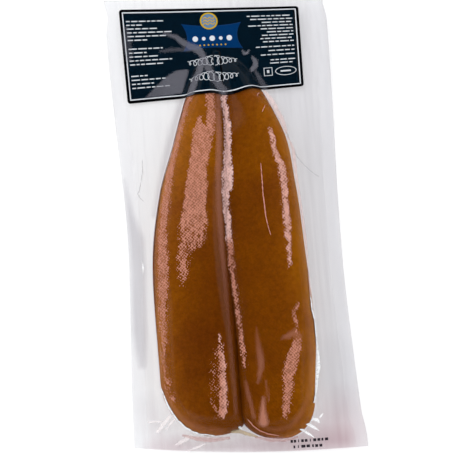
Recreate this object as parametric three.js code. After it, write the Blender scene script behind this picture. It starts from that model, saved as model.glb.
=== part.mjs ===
// A clear vacuum bag, sealed tight round a whole mullet roe of two lobes and lying flat on its back,
// with a paper label across its upper end. Millimetres, +Z up, +Y towards the labelled end, +X to the
// right when the bag is seen from above. The origin is the middle of its footprint, at the base.
//
// Two solids: the sealed bag, filled out to its film by what is in it, and the label that lies on it.
import * as THREE from "three";

const { clamp, lerp, smoothstep } = THREE.MathUtils;

// The bag: two flat webs of film, welded along all four sides, and cut a little askew at both ends.
const BAG_WIDTH = 121;
const BAG_SIDE = 243.5; // the length of each long side
const END_SKEW = 8.6; // how much further up the left corner of an end lies than the right one
const MARGIN_THICKNESS = 0.9;
const END_BOW = 2.4; // the bottom end swells out this far between its corners
const TOP_NOTCH = 1.6; // the sides draw in this far just below the top weld
const WAIST = { left: { depth: 4, y: -5, spread: 75 }, right: { depth: 3.8, y: -30, spread: 100 } };

// The roe: two lobes side by side that meet in a groove, widest near their blunt lower ends.
// Widths are measured from the groove. taper and reach set how the width falls towards the tip, and
// slimmer is what a lobe loses of it towards its blunt end. A section goes over from the tip to the
// blunt end: where its crest lies, how far its top leans to the right, both with the stretch where they
// turn, and the exponent that makes it boxy at the tip, halfway and at the blunt end.
const TIP_Y = 93;
const LOBES = {
  left: {
    side: -1, widest: 41.4, widestY: -74, reach: 185, taper: 2.32, slimmer: 0,
    endX: -18.5, endY: -114.8, outerRound: 30, innerRound: 7, endRound: 20, thick: 22,
    crest: [0.05, 0.15], crestTurn: [10, 60], lean: [0, -0.05], leanTurn: [10, 60],
    boxy: { tip: 3.6, middle: 2.7, end: 3.8 },
  },
  right: {
    side: 1, widest: 42.6, widestY: -52, reach: 156.5, taper: 3.1, slimmer: 4.2,
    endX: 17.8, endY: -119, outerRound: 18, innerRound: 15.8, endRound: 22, thick: 21.5,
    crest: [0.42, -0.2], crestTurn: [5, 88], lean: [0.3, 0.05], leanTurn: [45, 88],
    boxy: { tip: 3, middle: 3.2, end: 4.2 },
  },
};
const SLIMMING = [60, 110]; // lengths below the middle between which a lobe gets slimmer
const LOBE_OVERLAP = 1.6; // each lobe runs this far past the groove line, into the other
const TIP_ROUND = 8;
const TIP_SLOPE = 16; // the length over which its upper side comes down
const TIP_THICK = 8;
const THICKEST_Y = -50;
const ROUNDNESS = 0.42; // how suddenly a lobe's top turns down at its sides: 1 is gradual
const TIP_DOME = { boxy: 2.2, from: 54, to: 76 }; // at its tip a section is a plain, even dome

// Heights above the table. The two webs part at the rim, low on the side of the roe.
const RIM_HEIGHT = 6.5;
const TIP_RIM_HEIGHT = 3.2;
const EDGE_HEIGHT = 1.6;
const MARGIN_FALL = 1.7; // exponent of the margin's fall from the rim to the bag's edge
const FLAT_SHARE = 0.7; // share of a lobe's half-width that lies flat on the table
const GROOVE_LIFT = 1.2; // how far the underside rises in the groove between the lobes
// How far the film bridges a corner: from the roe to the margin, and over the groove between the lobes.
const FILLET = { side: 3, tip: 2.5, groove: 8 };
const DROP = { side: 4, tip: 0.9 }; // how steeply it falls from the roe's edge
const TENT = [42, 68]; // along these heights the film turns from tight round the roe to a tent over its tip
const CURLS = [
  { x: -60, y: 112, radius: 18, lift: 0.6 },
  { x: 60, y: 118, radius: 22, lift: 0.8 },
  { x: -60, y: -116, radius: 24, lift: 2.2 },
  { x: 60, y: -126, radius: 24, lift: 0.8 },
];
const WAVE = { height: 0.4, length: 58 };
const STIFFENED = [50, 72]; // from here on the label keeps the margin flat
const END_LIFT = { height: 6, fromLeft: 60, fromRight: 32, to: 126 }; // the labelled end rises off the table

// The label: a paper rectangle with rounded corners. Its corners are given as they lie on the bag.
// Its lower edge sags a little over each lobe.
const LABEL = {
  topLeft: [-52.5, 120], topRight: [45.3, 114.3], bottomLeft: [-51.4, 68.1], bottomRight: [44.6, 70],
  corner: 2.2, thickness: 0.35, gap: 0.7,
  sags: [{ x: -11, depth: 1.4 }, { x: 6, depth: 2.6 }], sagSpread: 8,
};

// The larger of two heights, with the corner between them rounded over a height of `round`.
function blendedMax(a, b, round) {
  if (a === -Infinity || b === -Infinity) return Math.max(a, b);
  const h = Math.max(round - Math.abs(a - b), 0) / round;
  return Math.max(a, b) + (h * h * round) / 4;
}

// The line where the two lobes meet: it bends to the left in the middle and to the right at the tip.
const grooveX = (y) => -3.4 - 1.6 * Math.exp(-(((y + 16) / 32) ** 2)) + 2.2 * smoothstep(y, 15, 45);

// The width of a lobe, from the groove to its outer edge, before its ends are rounded.
function lobeWidth(lobe, y) {
  const up = Math.max(y - lobe.widestY, 0);
  const width = lobe.widest * Math.max(1 - (up / lobe.reach) ** lobe.taper, 0.05);
  return width - lobe.slimmer * smoothstep(-y, ...SLIMMING);
}

// How much of its full size a form has at `y`, where it ends at `end` in a quarter ellipse of length `round`.
const rounding = (y, end, round) => Math.sqrt(Math.max(1 - clamp(1 - (y - end) / round, 0, 1) ** 2, 0));

// The outer and inner edge of a lobe at height `y` on the bag, with its blunt end and tip rounded.
function lobeEdges(lobe, y) {
  const groove = grooveX(y);
  const tip = rounding(-y, -TIP_Y, TIP_ROUND);
  const outer = groove + lobe.side * lobeWidth(lobe, y) * tip;
  const inner = groove - lobe.side * LOBE_OVERLAP;
  return {
    outer: lerp(lobe.endX, outer, rounding(y, lobe.endY, lobe.outerRound)),
    inner: lerp(lobe.endX, inner, rounding(y, lobe.endY, lobe.innerRound)),
  };
}

// Where a point lies across a lobe: 0 in its middle, 1 at its edge, and how high the lobe is there.
function across(lobe, x, y) {
  const { outer, inner } = lobeEdges(lobe, y);
  const half = Math.max(Math.abs(outer - inner) / 2, 0.2);
  return (x - (outer + inner) / 2) / half;
}

const rimHeight = (y) => lerp(RIM_HEIGHT, TIP_RIM_HEIGHT, smoothstep(y, 20, TIP_Y));

// A lobe's thickness along its length: fullest near the blunt end, thin at the tip.
const lobeCrown = (lobe, y) => lerp(lobe.thick, TIP_THICK, ((y - THICKEST_Y) / (TIP_Y - THICKEST_Y)) ** 2);

// A lobe's section at a place along it: its crest, its lean and how boxy it is.
const evenTip = (y) => smoothstep(y, TIP_DOME.from, TIP_DOME.to);
const lobeCrest = (lobe, y) => lerp(...lobe.crest, smoothstep(-y, ...lobe.crestTurn)) * (1 - evenTip(y));
const lobeLean = (lobe, y) => lerp(...lobe.lean, smoothstep(-y, ...lobe.leanTurn)) * (1 - evenTip(y));
function lobeBoxy({ boxy }, y) {
  const towardsTip = lerp(boxy.middle, boxy.tip, smoothstep(y, 0, 40));
  return lerp(lerp(towardsTip, boxy.end, smoothstep(-y, 40, 75)), TIP_DOME.boxy, evenTip(y));
}

// The upper surface of a lobe, over the rim: a boxy section with its crest shifted to one side and its
// top leaning a little.
function lobeTop(lobe, x, y) {
  const u = across(lobe, x, y);
  if (y < lobe.endY || y > TIP_Y || Math.abs(u) >= 1) return -Infinity;
  const s = u - lobeCrest(lobe, y) * (1 - u * u);
  const roundness = lerp(ROUNDNESS, 1, smoothstep(y, ...TENT));
  const leaning = lobeLean(lobe, y) * s * (1 - s ** 4);
  const dome = Math.max(1 - Math.abs(s) ** lobeBoxy(lobe, y), 0) ** roundness + leaning;
  const end = rounding(y, lobe.endY, lobe.endRound) * rounding(-y, -TIP_Y, TIP_SLOPE) ** 2;
  return rimHeight(y) + (lobeCrown(lobe, y) - rimHeight(y)) * dome * end;
}

// The underside of a lobe: flat on the table, and turned up to the rim along its outer side and ends.
function lobeUnderside(lobe, x, y) {
  const u = across(lobe, x, y) * lobe.side;
  const turned = (v) => clamp((v - FLAT_SHARE) / (1 - FLAT_SHARE), 0, 1) ** 2.2;
  const end = turned(1 - rounding(y, lobe.endY, lobe.endRound) * (1 - FLAT_SHARE));
  const tip = turned(1 - rounding(-y, -TIP_Y, TIP_SLOPE) * (1 - FLAT_SHARE));
  return Math.max(rimHeight(y) * Math.max(turned(u), end, tip), GROOVE_LIFT * turned(-u));
}

// The roe's whole outline on the table, as one closed line: down the left lobe, into the notch, and back.
function roeOutline() {
  const line = [];
  const steps = 48;
  const run = (lobe, edge, from, to) => {
    for (let i = 0; i <= steps; i++) {
      const y = lerp(from, to, (1 - Math.cos((Math.PI * i) / steps)) / 2);
      line.push(new THREE.Vector2(lobeEdges(lobe, y)[edge], y));
    }
  };
  const { left, right } = LOBES;
  run(left, "outer", TIP_Y, left.endY);
  run(left, "inner", left.endY, left.endY + left.innerRound);
  run(right, "inner", right.endY + right.innerRound, right.endY);
  run(right, "outer", right.endY, TIP_Y);
  return line;
}

// The sides and ends of the bag. v runs from -1 at the bottom end to 1 at the top end.
function bagSide(side, y) {
  const waist = WAIST[side < 0 ? "left" : "right"];
  const drawnIn = waist.depth * Math.exp(-(((y - waist.y) / waist.spread) ** 2) * 1.4);
  const atCorner = smoothstep(Math.abs(y), BAG_SIDE / 2 - 16, BAG_SIDE / 2);
  const notch = TOP_NOTCH * Math.exp(-(((y - 116) / 6) ** 2));
  return side * (BAG_WIDTH / 2 - drawnIn * (1 - atCorner) - notch);
}
function bagRow(v, x) {
  const skew = (-END_SKEW * x) / BAG_WIDTH;
  const bow = END_BOW * (1 - (x / (BAG_WIDTH / 2)) ** 2) * smoothstep(-v, 0.7, 1);
  return (v * BAG_SIDE) / 2 + skew - bow;
}
function bagOutline() {
  const line = [];
  const steps = 60;
  for (let i = 0; i <= steps; i++) {
    const v = 1 - (2 * i) / steps;
    const x = bagSide(-1, (v * BAG_SIDE) / 2);
    line.push(new THREE.Vector2(x, bagRow(v, x)));
  }
  for (let i = 0; i <= steps; i++) {
    const x = lerp(-BAG_WIDTH / 2, BAG_WIDTH / 2, i / steps);
    line.push(new THREE.Vector2(x, bagRow(-1, x)));
  }
  for (let i = 0; i <= steps; i++) {
    const v = -1 + (2 * i) / steps;
    const x = bagSide(1, (v * BAG_SIDE) / 2);
    line.push(new THREE.Vector2(x, bagRow(v, x)));
  }
  line.push(line[0]);
  return line;
}

// The distance from a point to a line of many points.
function distanceTo(line, x, y) {
  let least = Infinity;
  for (let i = 1; i < line.length; i++) {
    const a = line[i - 1];
    const dx = line[i].x - a.x;
    const dy = line[i].y - a.y;
    const t = clamp(((x - a.x) * dx + (y - a.y) * dy) / (dx * dx + dy * dy || 1), 0, 1);
    least = Math.min(least, Math.hypot(a.x + dx * t - x, a.y + dy * t - y));
  }
  return least;
}

const ROE_OUTLINE = roeOutline();
const BAG_OUTLINE = bagOutline();
const inRoe = (x, y) =>
  Object.values(LOBES).some((lobe) => y > lobe.endY && y < TIP_Y && Math.abs(across(lobe, x, y)) < 1);

// The middle of the welded margin: it leaves the roe at the rim and sinks towards the bag's edge,
// in long shallow waves, with its corners curled up. Under the label it is flat and rises to its end.
function marginHeight(x, y) {
  const fromRoe = inRoe(x, y) ? 0 : distanceTo(ROE_OUTLINE, x, y);
  const share = fromRoe / (fromRoe + distanceTo(BAG_OUTLINE, x, y) + 1e-6);
  const stiff = smoothstep(y, ...STIFFENED);
  const fall = lerp(EDGE_HEIGHT, rimHeight(y), (1 - share) ** MARGIN_FALL * (1 - stiff));
  const curl = CURLS.reduce(
    (sum, c) => sum + c.lift * Math.exp(-((x - c.x) ** 2 + (y - c.y) ** 2) / c.radius ** 2), 0,
  );
  const wave = WAVE.height * Math.sin((2 * Math.PI * (y + x * 0.4)) / WAVE.length) * (1 - stiff);
  const liftFrom = lerp(END_LIFT.fromLeft, END_LIFT.fromRight, smoothstep(x, -30, 30));
  const lift = END_LIFT.height * smoothstep(y, liftFrom, END_LIFT.to);
  return fall + (curl + wave) * share + lift * lerp(share, 1, stiff);
}

const MARGIN_CLEARANCE = 0.05; // the least height of the margin's underside over the table

function bagTop(x, y) {
  const tent = smoothstep(y, ...TENT);
  const beside = rimHeight(y) - lerp(DROP.side, DROP.tip, tent) * distanceTo(ROE_OUTLINE, x, y);
  const bridge = lerp(FILLET.side, FILLET.groove, smoothstep(y, -45, 10));
  const lobes = blendedMax(lobeTop(LOBES.left, x, y), lobeTop(LOBES.right, x, y), bridge);
  const roe = inRoe(x, y) ? lobes : beside;
  const margin = Math.max(marginHeight(x, y), MARGIN_CLEARANCE + MARGIN_THICKNESS / 2);
  return blendedMax(roe, margin + MARGIN_THICKNESS / 2, lerp(FILLET.side, FILLET.tip, tent));
}

function bagUnderside(x, y) {
  const margin = Math.max(marginHeight(x, y) - MARGIN_THICKNESS / 2, MARGIN_CLEARANCE);
  if (!inRoe(x, y)) return margin;
  const under = Object.values(LOBES)
    .filter((lobe) => Math.abs(across(lobe, x, y)) < 1 && y > lobe.endY)
    .map((lobe) => lobeUnderside(lobe, x, y));
  return Math.min(margin, ...under);
}

// Where the lines of the bag's mesh run. Four bands of columns lie between the bag's sides, the two
// lobes' outer edges and the groove, and crowd at the edges of the lobes. The rows crowd at the line
// of the blunt ends. Both follow the roe's outline, and each gives way to the other at the corners.
const even = (share) => share;
const crowdBoth = (share) => (1 - Math.cos(Math.PI * share)) / 2;
const crowdStart = (share) => 1 - Math.cos((Math.PI * share) / 2);
const crowdEnd = (share) => Math.sin((Math.PI * share) / 2);
const HANDOVER = 0.72; // share of a rounded end's half-width at which it does
const END_ROW = -0.905; // the row that follows the blunt ends
const COLUMN_BANDS = { leftMargin: 5, leftLobe: 13, rightLobe: 13, rightMargin: 5 };
const ROW_BANDS = [
  { from: -1, to: END_ROW, count: 6, spacing: crowdEnd },
  { from: END_ROW, to: -0.7, count: 9, spacing: crowdStart },
  { from: -0.7, to: 0.5, count: 19, spacing: even },
  { from: 0.5, to: 1, count: 20, spacing: even },
];

function columnStations() {
  const stations = [];
  for (const [band, count] of Object.entries(COLUMN_BANDS))
    for (let i = 0; i < count; i++) stations.push({ band, share: i / count });
  return [...stations, { band: "rightMargin", share: 1 }];
}
function rowStations() {
  const stations = [];
  for (const { from, to, count, spacing } of ROW_BANDS)
    for (let i = 0; i < count; i++) stations.push(lerp(from, to, spacing(i / count)));
  return [...stations, 1];
}

// The column along a lobe's outer edge.
function edgeColumn(lobe, y) {
  const groove = grooveX(y);
  const tip = Math.max(rounding(-y, -TIP_Y, TIP_ROUND), HANDOVER);
  const outer = groove + lobe.side * lobeWidth(lobe, Math.min(y, TIP_Y)) * tip;
  return lerp(lobe.endX, outer, Math.max(rounding(y, lobe.endY, lobe.outerRound), HANDOVER));
}

// The row along the lobes' blunt ends.
function endRow(x) {
  const lobe = x < grooveX(LOBES.left.endY) ? LOBES.left : LOBES.right;
  const outward = (x - lobe.endX) * lobe.side > 0;
  const edges = lobeEdges(lobe, lobe.endY + lobe.outerRound);
  const share = (x - lobe.endX) / ((outward ? edges.outer : edges.inner) - lobe.endX);
  const limited = Math.min(share, outward ? HANDOVER : 1);
  return lobe.endY + (outward ? lobe.outerRound : lobe.innerRound) * (1 - Math.sqrt(1 - limited ** 2));
}

function rowY(v, x) {
  if (v < END_ROW) return lerp(bagRow(-1, x), endRow(x), (v + 1) / (END_ROW + 1));
  return lerp(endRow(x), bagRow(1, x), (v - END_ROW) / (1 - END_ROW));
}
function columnX({ band, share }, y) {
  const { left, right } = LOBES;
  if (band === "leftMargin") return lerp(bagSide(-1, y), edgeColumn(left, y), crowdEnd(share));
  if (band === "leftLobe") return lerp(edgeColumn(left, y), grooveX(y), crowdBoth(share));
  if (band === "rightLobe") return lerp(grooveX(y), edgeColumn(right, y), crowdBoth(share));
  return lerp(edgeColumn(right, y), bagSide(1, y), crowdStart(share));
}

// The point where a column and a row cross, found by going from one to the other a few times.
function bagPoint(station, v) {
  let x = 0;
  let y = rowY(v, x);
  for (let i = 0; i < 6; i++) {
    x = columnX(station, y);
    y = rowY(v, x);
  }
  return [x, y];
}

// A closed sheet over a grid of points: an upper and a lower face, and a narrow wall round the outside.
// Each cell is cut along its shorter diagonal, which keeps the edges of steep places clean.
function closedSheet(columns, rows, plan, upper, lower) {
  const points = [];
  for (const height of [lower, upper])
    for (let row = 0; row <= rows; row++)
      for (let column = 0; column <= columns; column++) {
        const [x, y] = plan(column, row);
        points.push(new THREE.Vector3(x, y, height(x, y)));
      }
  const index = (side, column, row) => (side * (rows + 1) + row) * (columns + 1) + column;
  const faces = [];
  const cell = (a, b, c, d) => {
    const alongAC = points[a].distanceTo(points[c]) < points[b].distanceTo(points[d]);
    faces.push(...(alongAC ? [a, b, c, a, c, d] : [a, b, d, b, c, d]));
  };
  for (let row = 0; row < rows; row++)
    for (let column = 0; column < columns; column++) {
      const corners = [[column, row], [column + 1, row], [column + 1, row + 1], [column, row + 1]];
      cell(...corners.map(([c, r]) => index(1, c, r)));
      cell(...corners.map(([c, r]) => index(0, c, r)).reverse());
    }
  const wall = (from, to) => cell(index(0, ...from), index(0, ...to), index(1, ...to), index(1, ...from));
  for (let column = 0; column < columns; column++) {
    wall([column, 0], [column + 1, 0]);
    wall([column + 1, rows], [column, rows]);
  }
  for (let row = 0; row < rows; row++) {
    wall([columns, row], [columns, row + 1]);
    wall([0, row + 1], [0, row]);
  }
  const sheet = new THREE.BufferGeometry().setFromPoints(points);
  sheet.setIndex(faces);
  sheet.computeVertexNormals();
  return sheet;
}

function sealedBag() {
  const columns = columnStations();
  const rows = rowStations();
  const plan = (column, row) => bagPoint(columns[column], rows[row]);
  const film = new THREE.MeshStandardMaterial({ color: 0xa0601c, roughness: 0.25, metalness: 0 });
  const sheet = closedSheet(columns.length - 1, rows.length - 1, plan, bagTop, bagUnderside);
  const mesh = new THREE.Mesh(sheet, film);
  mesh.name = "sealed_bag";
  return mesh;
}

// The label's grid has a line one corner radius in from each side, and its corner points are drawn in,
// so that each corner is cut off.
function label() {
  const columns = 36;
  const rows = 20;
  const width = LABEL.topRight[0] - LABEL.topLeft[0];
  const height = LABEL.topLeft[1] - LABEL.bottomLeft[1];
  const share = (index, count, size) => {
    if (index === 0 || index === count) return index / count;
    const inset = LABEL.corner / size;
    return lerp(inset, 1 - inset, (index - 1) / (count - 2));
  };
  const plan = (column, row) => {
    const atCorner = (column === 0 || column === columns) && (row === 0 || row === rows);
    const drawn = atCorner ? LABEL.corner * (1 - Math.SQRT1_2) : 0;
    const u = share(column, columns, width) + (column === 0 ? drawn : -drawn) / width;
    const v = share(row, rows, height) + (row === 0 ? drawn : -drawn) / height;
    const [x, y] = [0, 1].map((axis) =>
      lerp(
        lerp(LABEL.bottomLeft[axis], LABEL.bottomRight[axis], u),
        lerp(LABEL.topLeft[axis], LABEL.topRight[axis], u),
        v,
      ),
    );
    const sag = LABEL.sags.reduce((sum, at) => sum + at.depth * Math.exp(-(((x - at.x) / LABEL.sagSpread) ** 2)), 0);
    return [x, y - sag * (1 - v) ** 2];
  };
  const lower = (x, y) => bagTop(x, y) + LABEL.gap;
  const upper = (x, y) => lower(x, y) + LABEL.thickness;
  const paper = new THREE.MeshStandardMaterial({ color: 0x0b1c28, roughness: 0.35, metalness: 0 });
  const mesh = new THREE.Mesh(closedSheet(columns, rows, plan, upper, lower), paper);
  mesh.name = "label";
  return mesh;
}

const pack = new THREE.Group();
pack.add(sealedBag(), label());

// The drawing above is centred only roughly, so the whole is moved to stand on the origin.
const bounds = new THREE.Box3().setFromObject(pack);
const middle = bounds.getCenter(new THREE.Vector3());
pack.position.set(-middle.x, -middle.y, -bounds.min.z);

export default pack;
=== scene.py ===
import math

import bpy
import numpy as np
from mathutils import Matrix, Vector


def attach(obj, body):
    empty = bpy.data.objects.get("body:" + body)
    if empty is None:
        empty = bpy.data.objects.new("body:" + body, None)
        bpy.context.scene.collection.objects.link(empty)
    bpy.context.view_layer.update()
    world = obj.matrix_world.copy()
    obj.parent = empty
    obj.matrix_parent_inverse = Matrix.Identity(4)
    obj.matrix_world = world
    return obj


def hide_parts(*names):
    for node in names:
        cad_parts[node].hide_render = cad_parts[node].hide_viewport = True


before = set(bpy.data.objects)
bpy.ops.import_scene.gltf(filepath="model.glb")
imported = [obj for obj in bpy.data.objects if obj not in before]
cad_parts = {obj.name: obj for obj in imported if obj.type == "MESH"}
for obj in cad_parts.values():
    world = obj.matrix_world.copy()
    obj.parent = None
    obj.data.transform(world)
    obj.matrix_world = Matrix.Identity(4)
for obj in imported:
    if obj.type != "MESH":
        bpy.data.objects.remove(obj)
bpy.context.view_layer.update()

# The roe. A whole mullet roe, salted, pressed and dried: two lobes side by side, joined at their
# tips, amber brown and waxy. Each lobe is one surface all round, carried from its blunt end to its tip.
# Lengths are in millimetres up to the call that makes a mesh, and in metres in the materials.
MILLIMETRE = 0.001
TIP_Y = 93
TIP_ROUND = 8
TIP_SLOPE = 16
TIP_THICK = 8
THICKEST_Y = -50
LOBE_OVERLAP = 1.6
RIM_HEIGHT = 6.5
TIP_RIM_HEIGHT = 3.2
FLAT_SHARE = 0.7
GROOVE_LIFT = 1.2
CLING_FROM = (6, 9)
TENT_FROM, TENT_TO = 42, 68
ROUNDNESS = 0.42
TIP_BOXY, TIP_EVEN = 2.2, (54, 76)
BELOW_UPPER_WEB, ABOVE_LOWER_WEB = 0.4, 0.3
LUMP_HEIGHT, LUMP_LENGTH = 0.035, 16
MERGED_WITHIN = 0.02
# EDGE_GLOW and GLOW_DEPTH set the painted glow on the lobes' thin edges.
EDGE_GLOW, GLOW_DEPTH = 2, 6.5
WAFFLE_PITCH, WAFFLE_PULL = 0.0018, 0.0022
FILM_IOR = 1.45
ROE_SHEEN = (1, 0.8, 0.75, 1)
# Each lobe's cross-section goes over from its tip to its blunt end: where the crest lies, how far the
# top leans to the right, and how boxy it is near the tip, halfway and near the blunt end. slimmer is
# what a lobe loses of its width towards its blunt end.
LEFT_LOBE = dict(
    name="roe_left_lobe", side=-1, widest=41.4, widest_y=-74, reach=185, taper=2.32, slimmer=0, end_x=-18.5,
    end_y=-114.8, outer_round=30, inner_round=7, end_round=20, thick=22,
    crest=(0.05, 0.15), crest_turn=(10, 60), lean=(0.0, -0.05), lean_turn=(10, 60), boxy=(3.6, 2.7, 3.8),
)
RIGHT_LOBE = dict(
    name="roe_right_lobe", side=1, widest=42.6, widest_y=-52, reach=156.5, taper=3.1, slimmer=4.2, end_x=17.8,
    end_y=-119, outer_round=18, inner_round=15.8, end_round=22, thick=21.5,
    crest=(0.42, -0.2), crest_turn=(5, 88), lean=(0.3, 0.05), lean_turn=(45, 88), boxy=(3.0, 3.2, 4.2),
)
LOBES = (LEFT_LOBE, RIGHT_LOBE)


def smooth(value, start, end):
    """A share that goes from 0 at start to 1 at end: t² (3 - 2 t)."""
    t = np.clip((value - start) / (end - start), 0, 1)
    return t * t * (3 - 2 * t)


def mix(a, b, share):
    """a + (b - a) share."""
    return a + (b - a) * share


def rounding(y, end, length):
    """The share of its full size that a form has at y, where it ends at end in a quarter ellipse:
    sqrt(1 - t²), with t falling from 1 at the end to 0 at length from it."""
    t = np.clip(1 - (y - end) / length, 0, 1)
    return np.sqrt(1 - t * t)


def groove_x(y):
    """Where the two lobes meet: -3.4 - 1.6 exp(-((y + 16) / 32)²) + 2.2 smooth(y, 15, 45)."""
    return -3.4 - 1.6 * np.exp(-(((y + 16) / 32) ** 2)) + 2.2 * smooth(y, 15, 45)


def lobe_width(lobe, y):
    """From the groove to a lobe's outer edge: widest (1 - (up / reach)^taper), and slimmer by slimmer
    towards the blunt end."""
    up = np.maximum(y - lobe["widest_y"], 0)
    width = lobe["widest"] * np.maximum(1 - (up / lobe["reach"]) ** lobe["taper"], 0.05)
    return width - lobe["slimmer"] * smooth(-y, 60, 110)


def lobe_edges(lobe, y):
    """x of a lobe's outer and inner edge, drawn in to end_x at the blunt end and to the groove at the tip."""
    outer = groove_x(y) + lobe["side"] * lobe_width(lobe, y) * rounding(-y, -TIP_Y, TIP_ROUND)
    inner = groove_x(y) - lobe["side"] * LOBE_OVERLAP
    outer = mix(lobe["end_x"], outer, rounding(y, lobe["end_y"], lobe["outer_round"]))
    inner = mix(lobe["end_x"], inner, rounding(y, lobe["end_y"], lobe["inner_round"]))
    return outer, inner


def rim_height(y):
    """Height of a lobe's edge over the table, lower towards the tip."""
    return mix(RIM_HEIGHT, TIP_RIM_HEIGHT, smooth(y, 20, TIP_Y))


def lobe_top(lobe, u, y):
    """Height of a lobe's upper side: rim + (crown - rim) ((1 - |s|^boxy)^round + lean s (1 - s⁴)), with u
    from -1 at the left edge to 1 at the right, and s = u - crest (1 - u²). The crown's height falls off
    with the square of the way from where the lobe is thickest, and the very tip is an even dome."""
    even = smooth(y, *TIP_EVEN)
    crest = mix(*lobe["crest"], smooth(-y, *lobe["crest_turn"])) * (1 - even)
    lean = mix(*lobe["lean"], smooth(-y, *lobe["lean_turn"])) * (1 - even)
    at_tip, halfway, at_end = lobe["boxy"]
    boxy = mix(mix(mix(halfway, at_tip, smooth(y, 0, 40)), at_end, smooth(-y, 40, 75)), TIP_BOXY, even)
    s = u - crest * (1 - u * u)
    sharpness = mix(ROUNDNESS, 1.0, smooth(y, TENT_FROM, TENT_TO))
    dome = np.maximum(1 - np.abs(s) ** boxy, 0) ** sharpness + lean * s * (1 - s**4)
    crown = mix(lobe["thick"], TIP_THICK, ((y - THICKEST_Y) / (TIP_Y - THICKEST_Y)) ** 2)
    ends = rounding(y, lobe["end_y"], lobe["end_round"]) * rounding(-y, -TIP_Y, TIP_SLOPE) ** 2
    return rim_height(y) + (crown - rim_height(y)) * dome * ends


def lobe_underside(lobe, u, y):
    """Height of a lobe's underside: flat on the table, and turned up to the rim along its outer side
    and its ends as ((v - 0.7) / 0.3)^2.2, with v from 0 in the middle to 1 at the edge."""
    def turned(v):
        return np.clip((v - FLAT_SHARE) / (1 - FLAT_SHARE), 0, 1) ** 2.2
    end = turned(1 - rounding(y, lobe["end_y"], lobe["end_round"]) * (1 - FLAT_SHARE))
    tip = turned(1 - rounding(-y, -TIP_Y, TIP_SLOPE) * (1 - FLAT_SHARE))
    outward = u * lobe["side"]
    lifted = rim_height(y) * np.maximum(np.maximum(turned(outward), end), tip)
    return np.maximum(lifted, GROOVE_LIFT * turned(-outward))


def ripples(x, y, length, seed, count=14):
    """An even, random unevenness of about -1 to 1: a sum of sine waves in random directions, with
    wavelengths from 0.6 to 1.8 times length."""
    chance = np.random.default_rng(seed)
    total = 0
    for _ in range(count):
        turn, phase = chance.uniform(0, 2 * math.pi, 2)
        wave = 2 * math.pi / (length * chance.uniform(0.6, 1.8))
        total = total + np.sin((x * math.cos(turn) + y * math.sin(turn)) * wave + phase)
    return total / math.sqrt(count)


def make_mesh(name, points, faces, smooth_faces=True):
    """A mesh object from an (n, 3) array in millimetres and an array of four-cornered faces."""
    mesh = bpy.data.meshes.new(name)
    mesh.from_pydata((points * MILLIMETRE).tolist(), [], faces.tolist())
    mesh.shade_smooth() if smooth_faces else mesh.shade_flat()
    thing = bpy.data.objects.new(name, mesh)
    bpy.context.collection.objects.link(thing)
    return thing


def tube_faces(rings, around, first=0):
    """Faces between neighbouring rings of points, each ring closed on itself."""
    ring, place = np.meshgrid(np.arange(rings - 1), np.arange(around), indexing="ij")
    after = (place + 1) % around
    this, following = ring * around, (ring + 1) * around
    corners = (this + place, this + after, following + after, following + place)
    return np.stack([c.ravel() for c in corners], axis=1) + first


def painted_edge_glow(lobe, x, y):
    """Painted light: how much brighter the roe's colour is painted than in its thick middle, a painted glow
    of light
    through its thin edges: 1 + 2 exp(-d / 6.5 mm) at the distance d from the lobe's outer edge, and painted
    lighter over the tip half, above all of the left lobe."""
    outer, _ = lobe_edges(lobe, y)
    from_edge = np.maximum((outer - x) * lobe["side"], 0)
    tip_half = (0.5 if lobe is LEFT_LOBE else 0.1) * smooth(y, -45, 25)
    return 1 + EDGE_GLOW * np.exp(-from_edge / GLOW_DEPTH) + tip_half


def clinging(x, y):
    """The share of the gloss that lies on the roe's skin: 1 inside, where the film clings to it, and 0
    along the outer edges and over the groove, where the film has a surface of its own."""
    left, right = (np.abs(lobe_edges(lobe, y)[0] - x) for lobe in LOBES)
    from_ends = np.minimum(y - np.where(x < groove_x(y), LEFT_LOBE["end_y"], RIGHT_LOBE["end_y"]), TIP_Y - y)
    from_groove = x - groove_x(y)
    beside_groove = smooth(from_groove, -4, -2) * (1 - smooth(from_groove, 5, 7))
    return smooth(np.minimum(np.minimum(left, right), from_ends), *CLING_FROM) * (1 - beside_groove)


def mark(piece, name, values):
    """Gives each point of a piece a number, which its material reads by that name."""
    attribute = piece.data.attributes.new(name, "FLOAT", "POINT")
    attribute.data.foreach_set("value", values.ravel().astype(np.float32))


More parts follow.
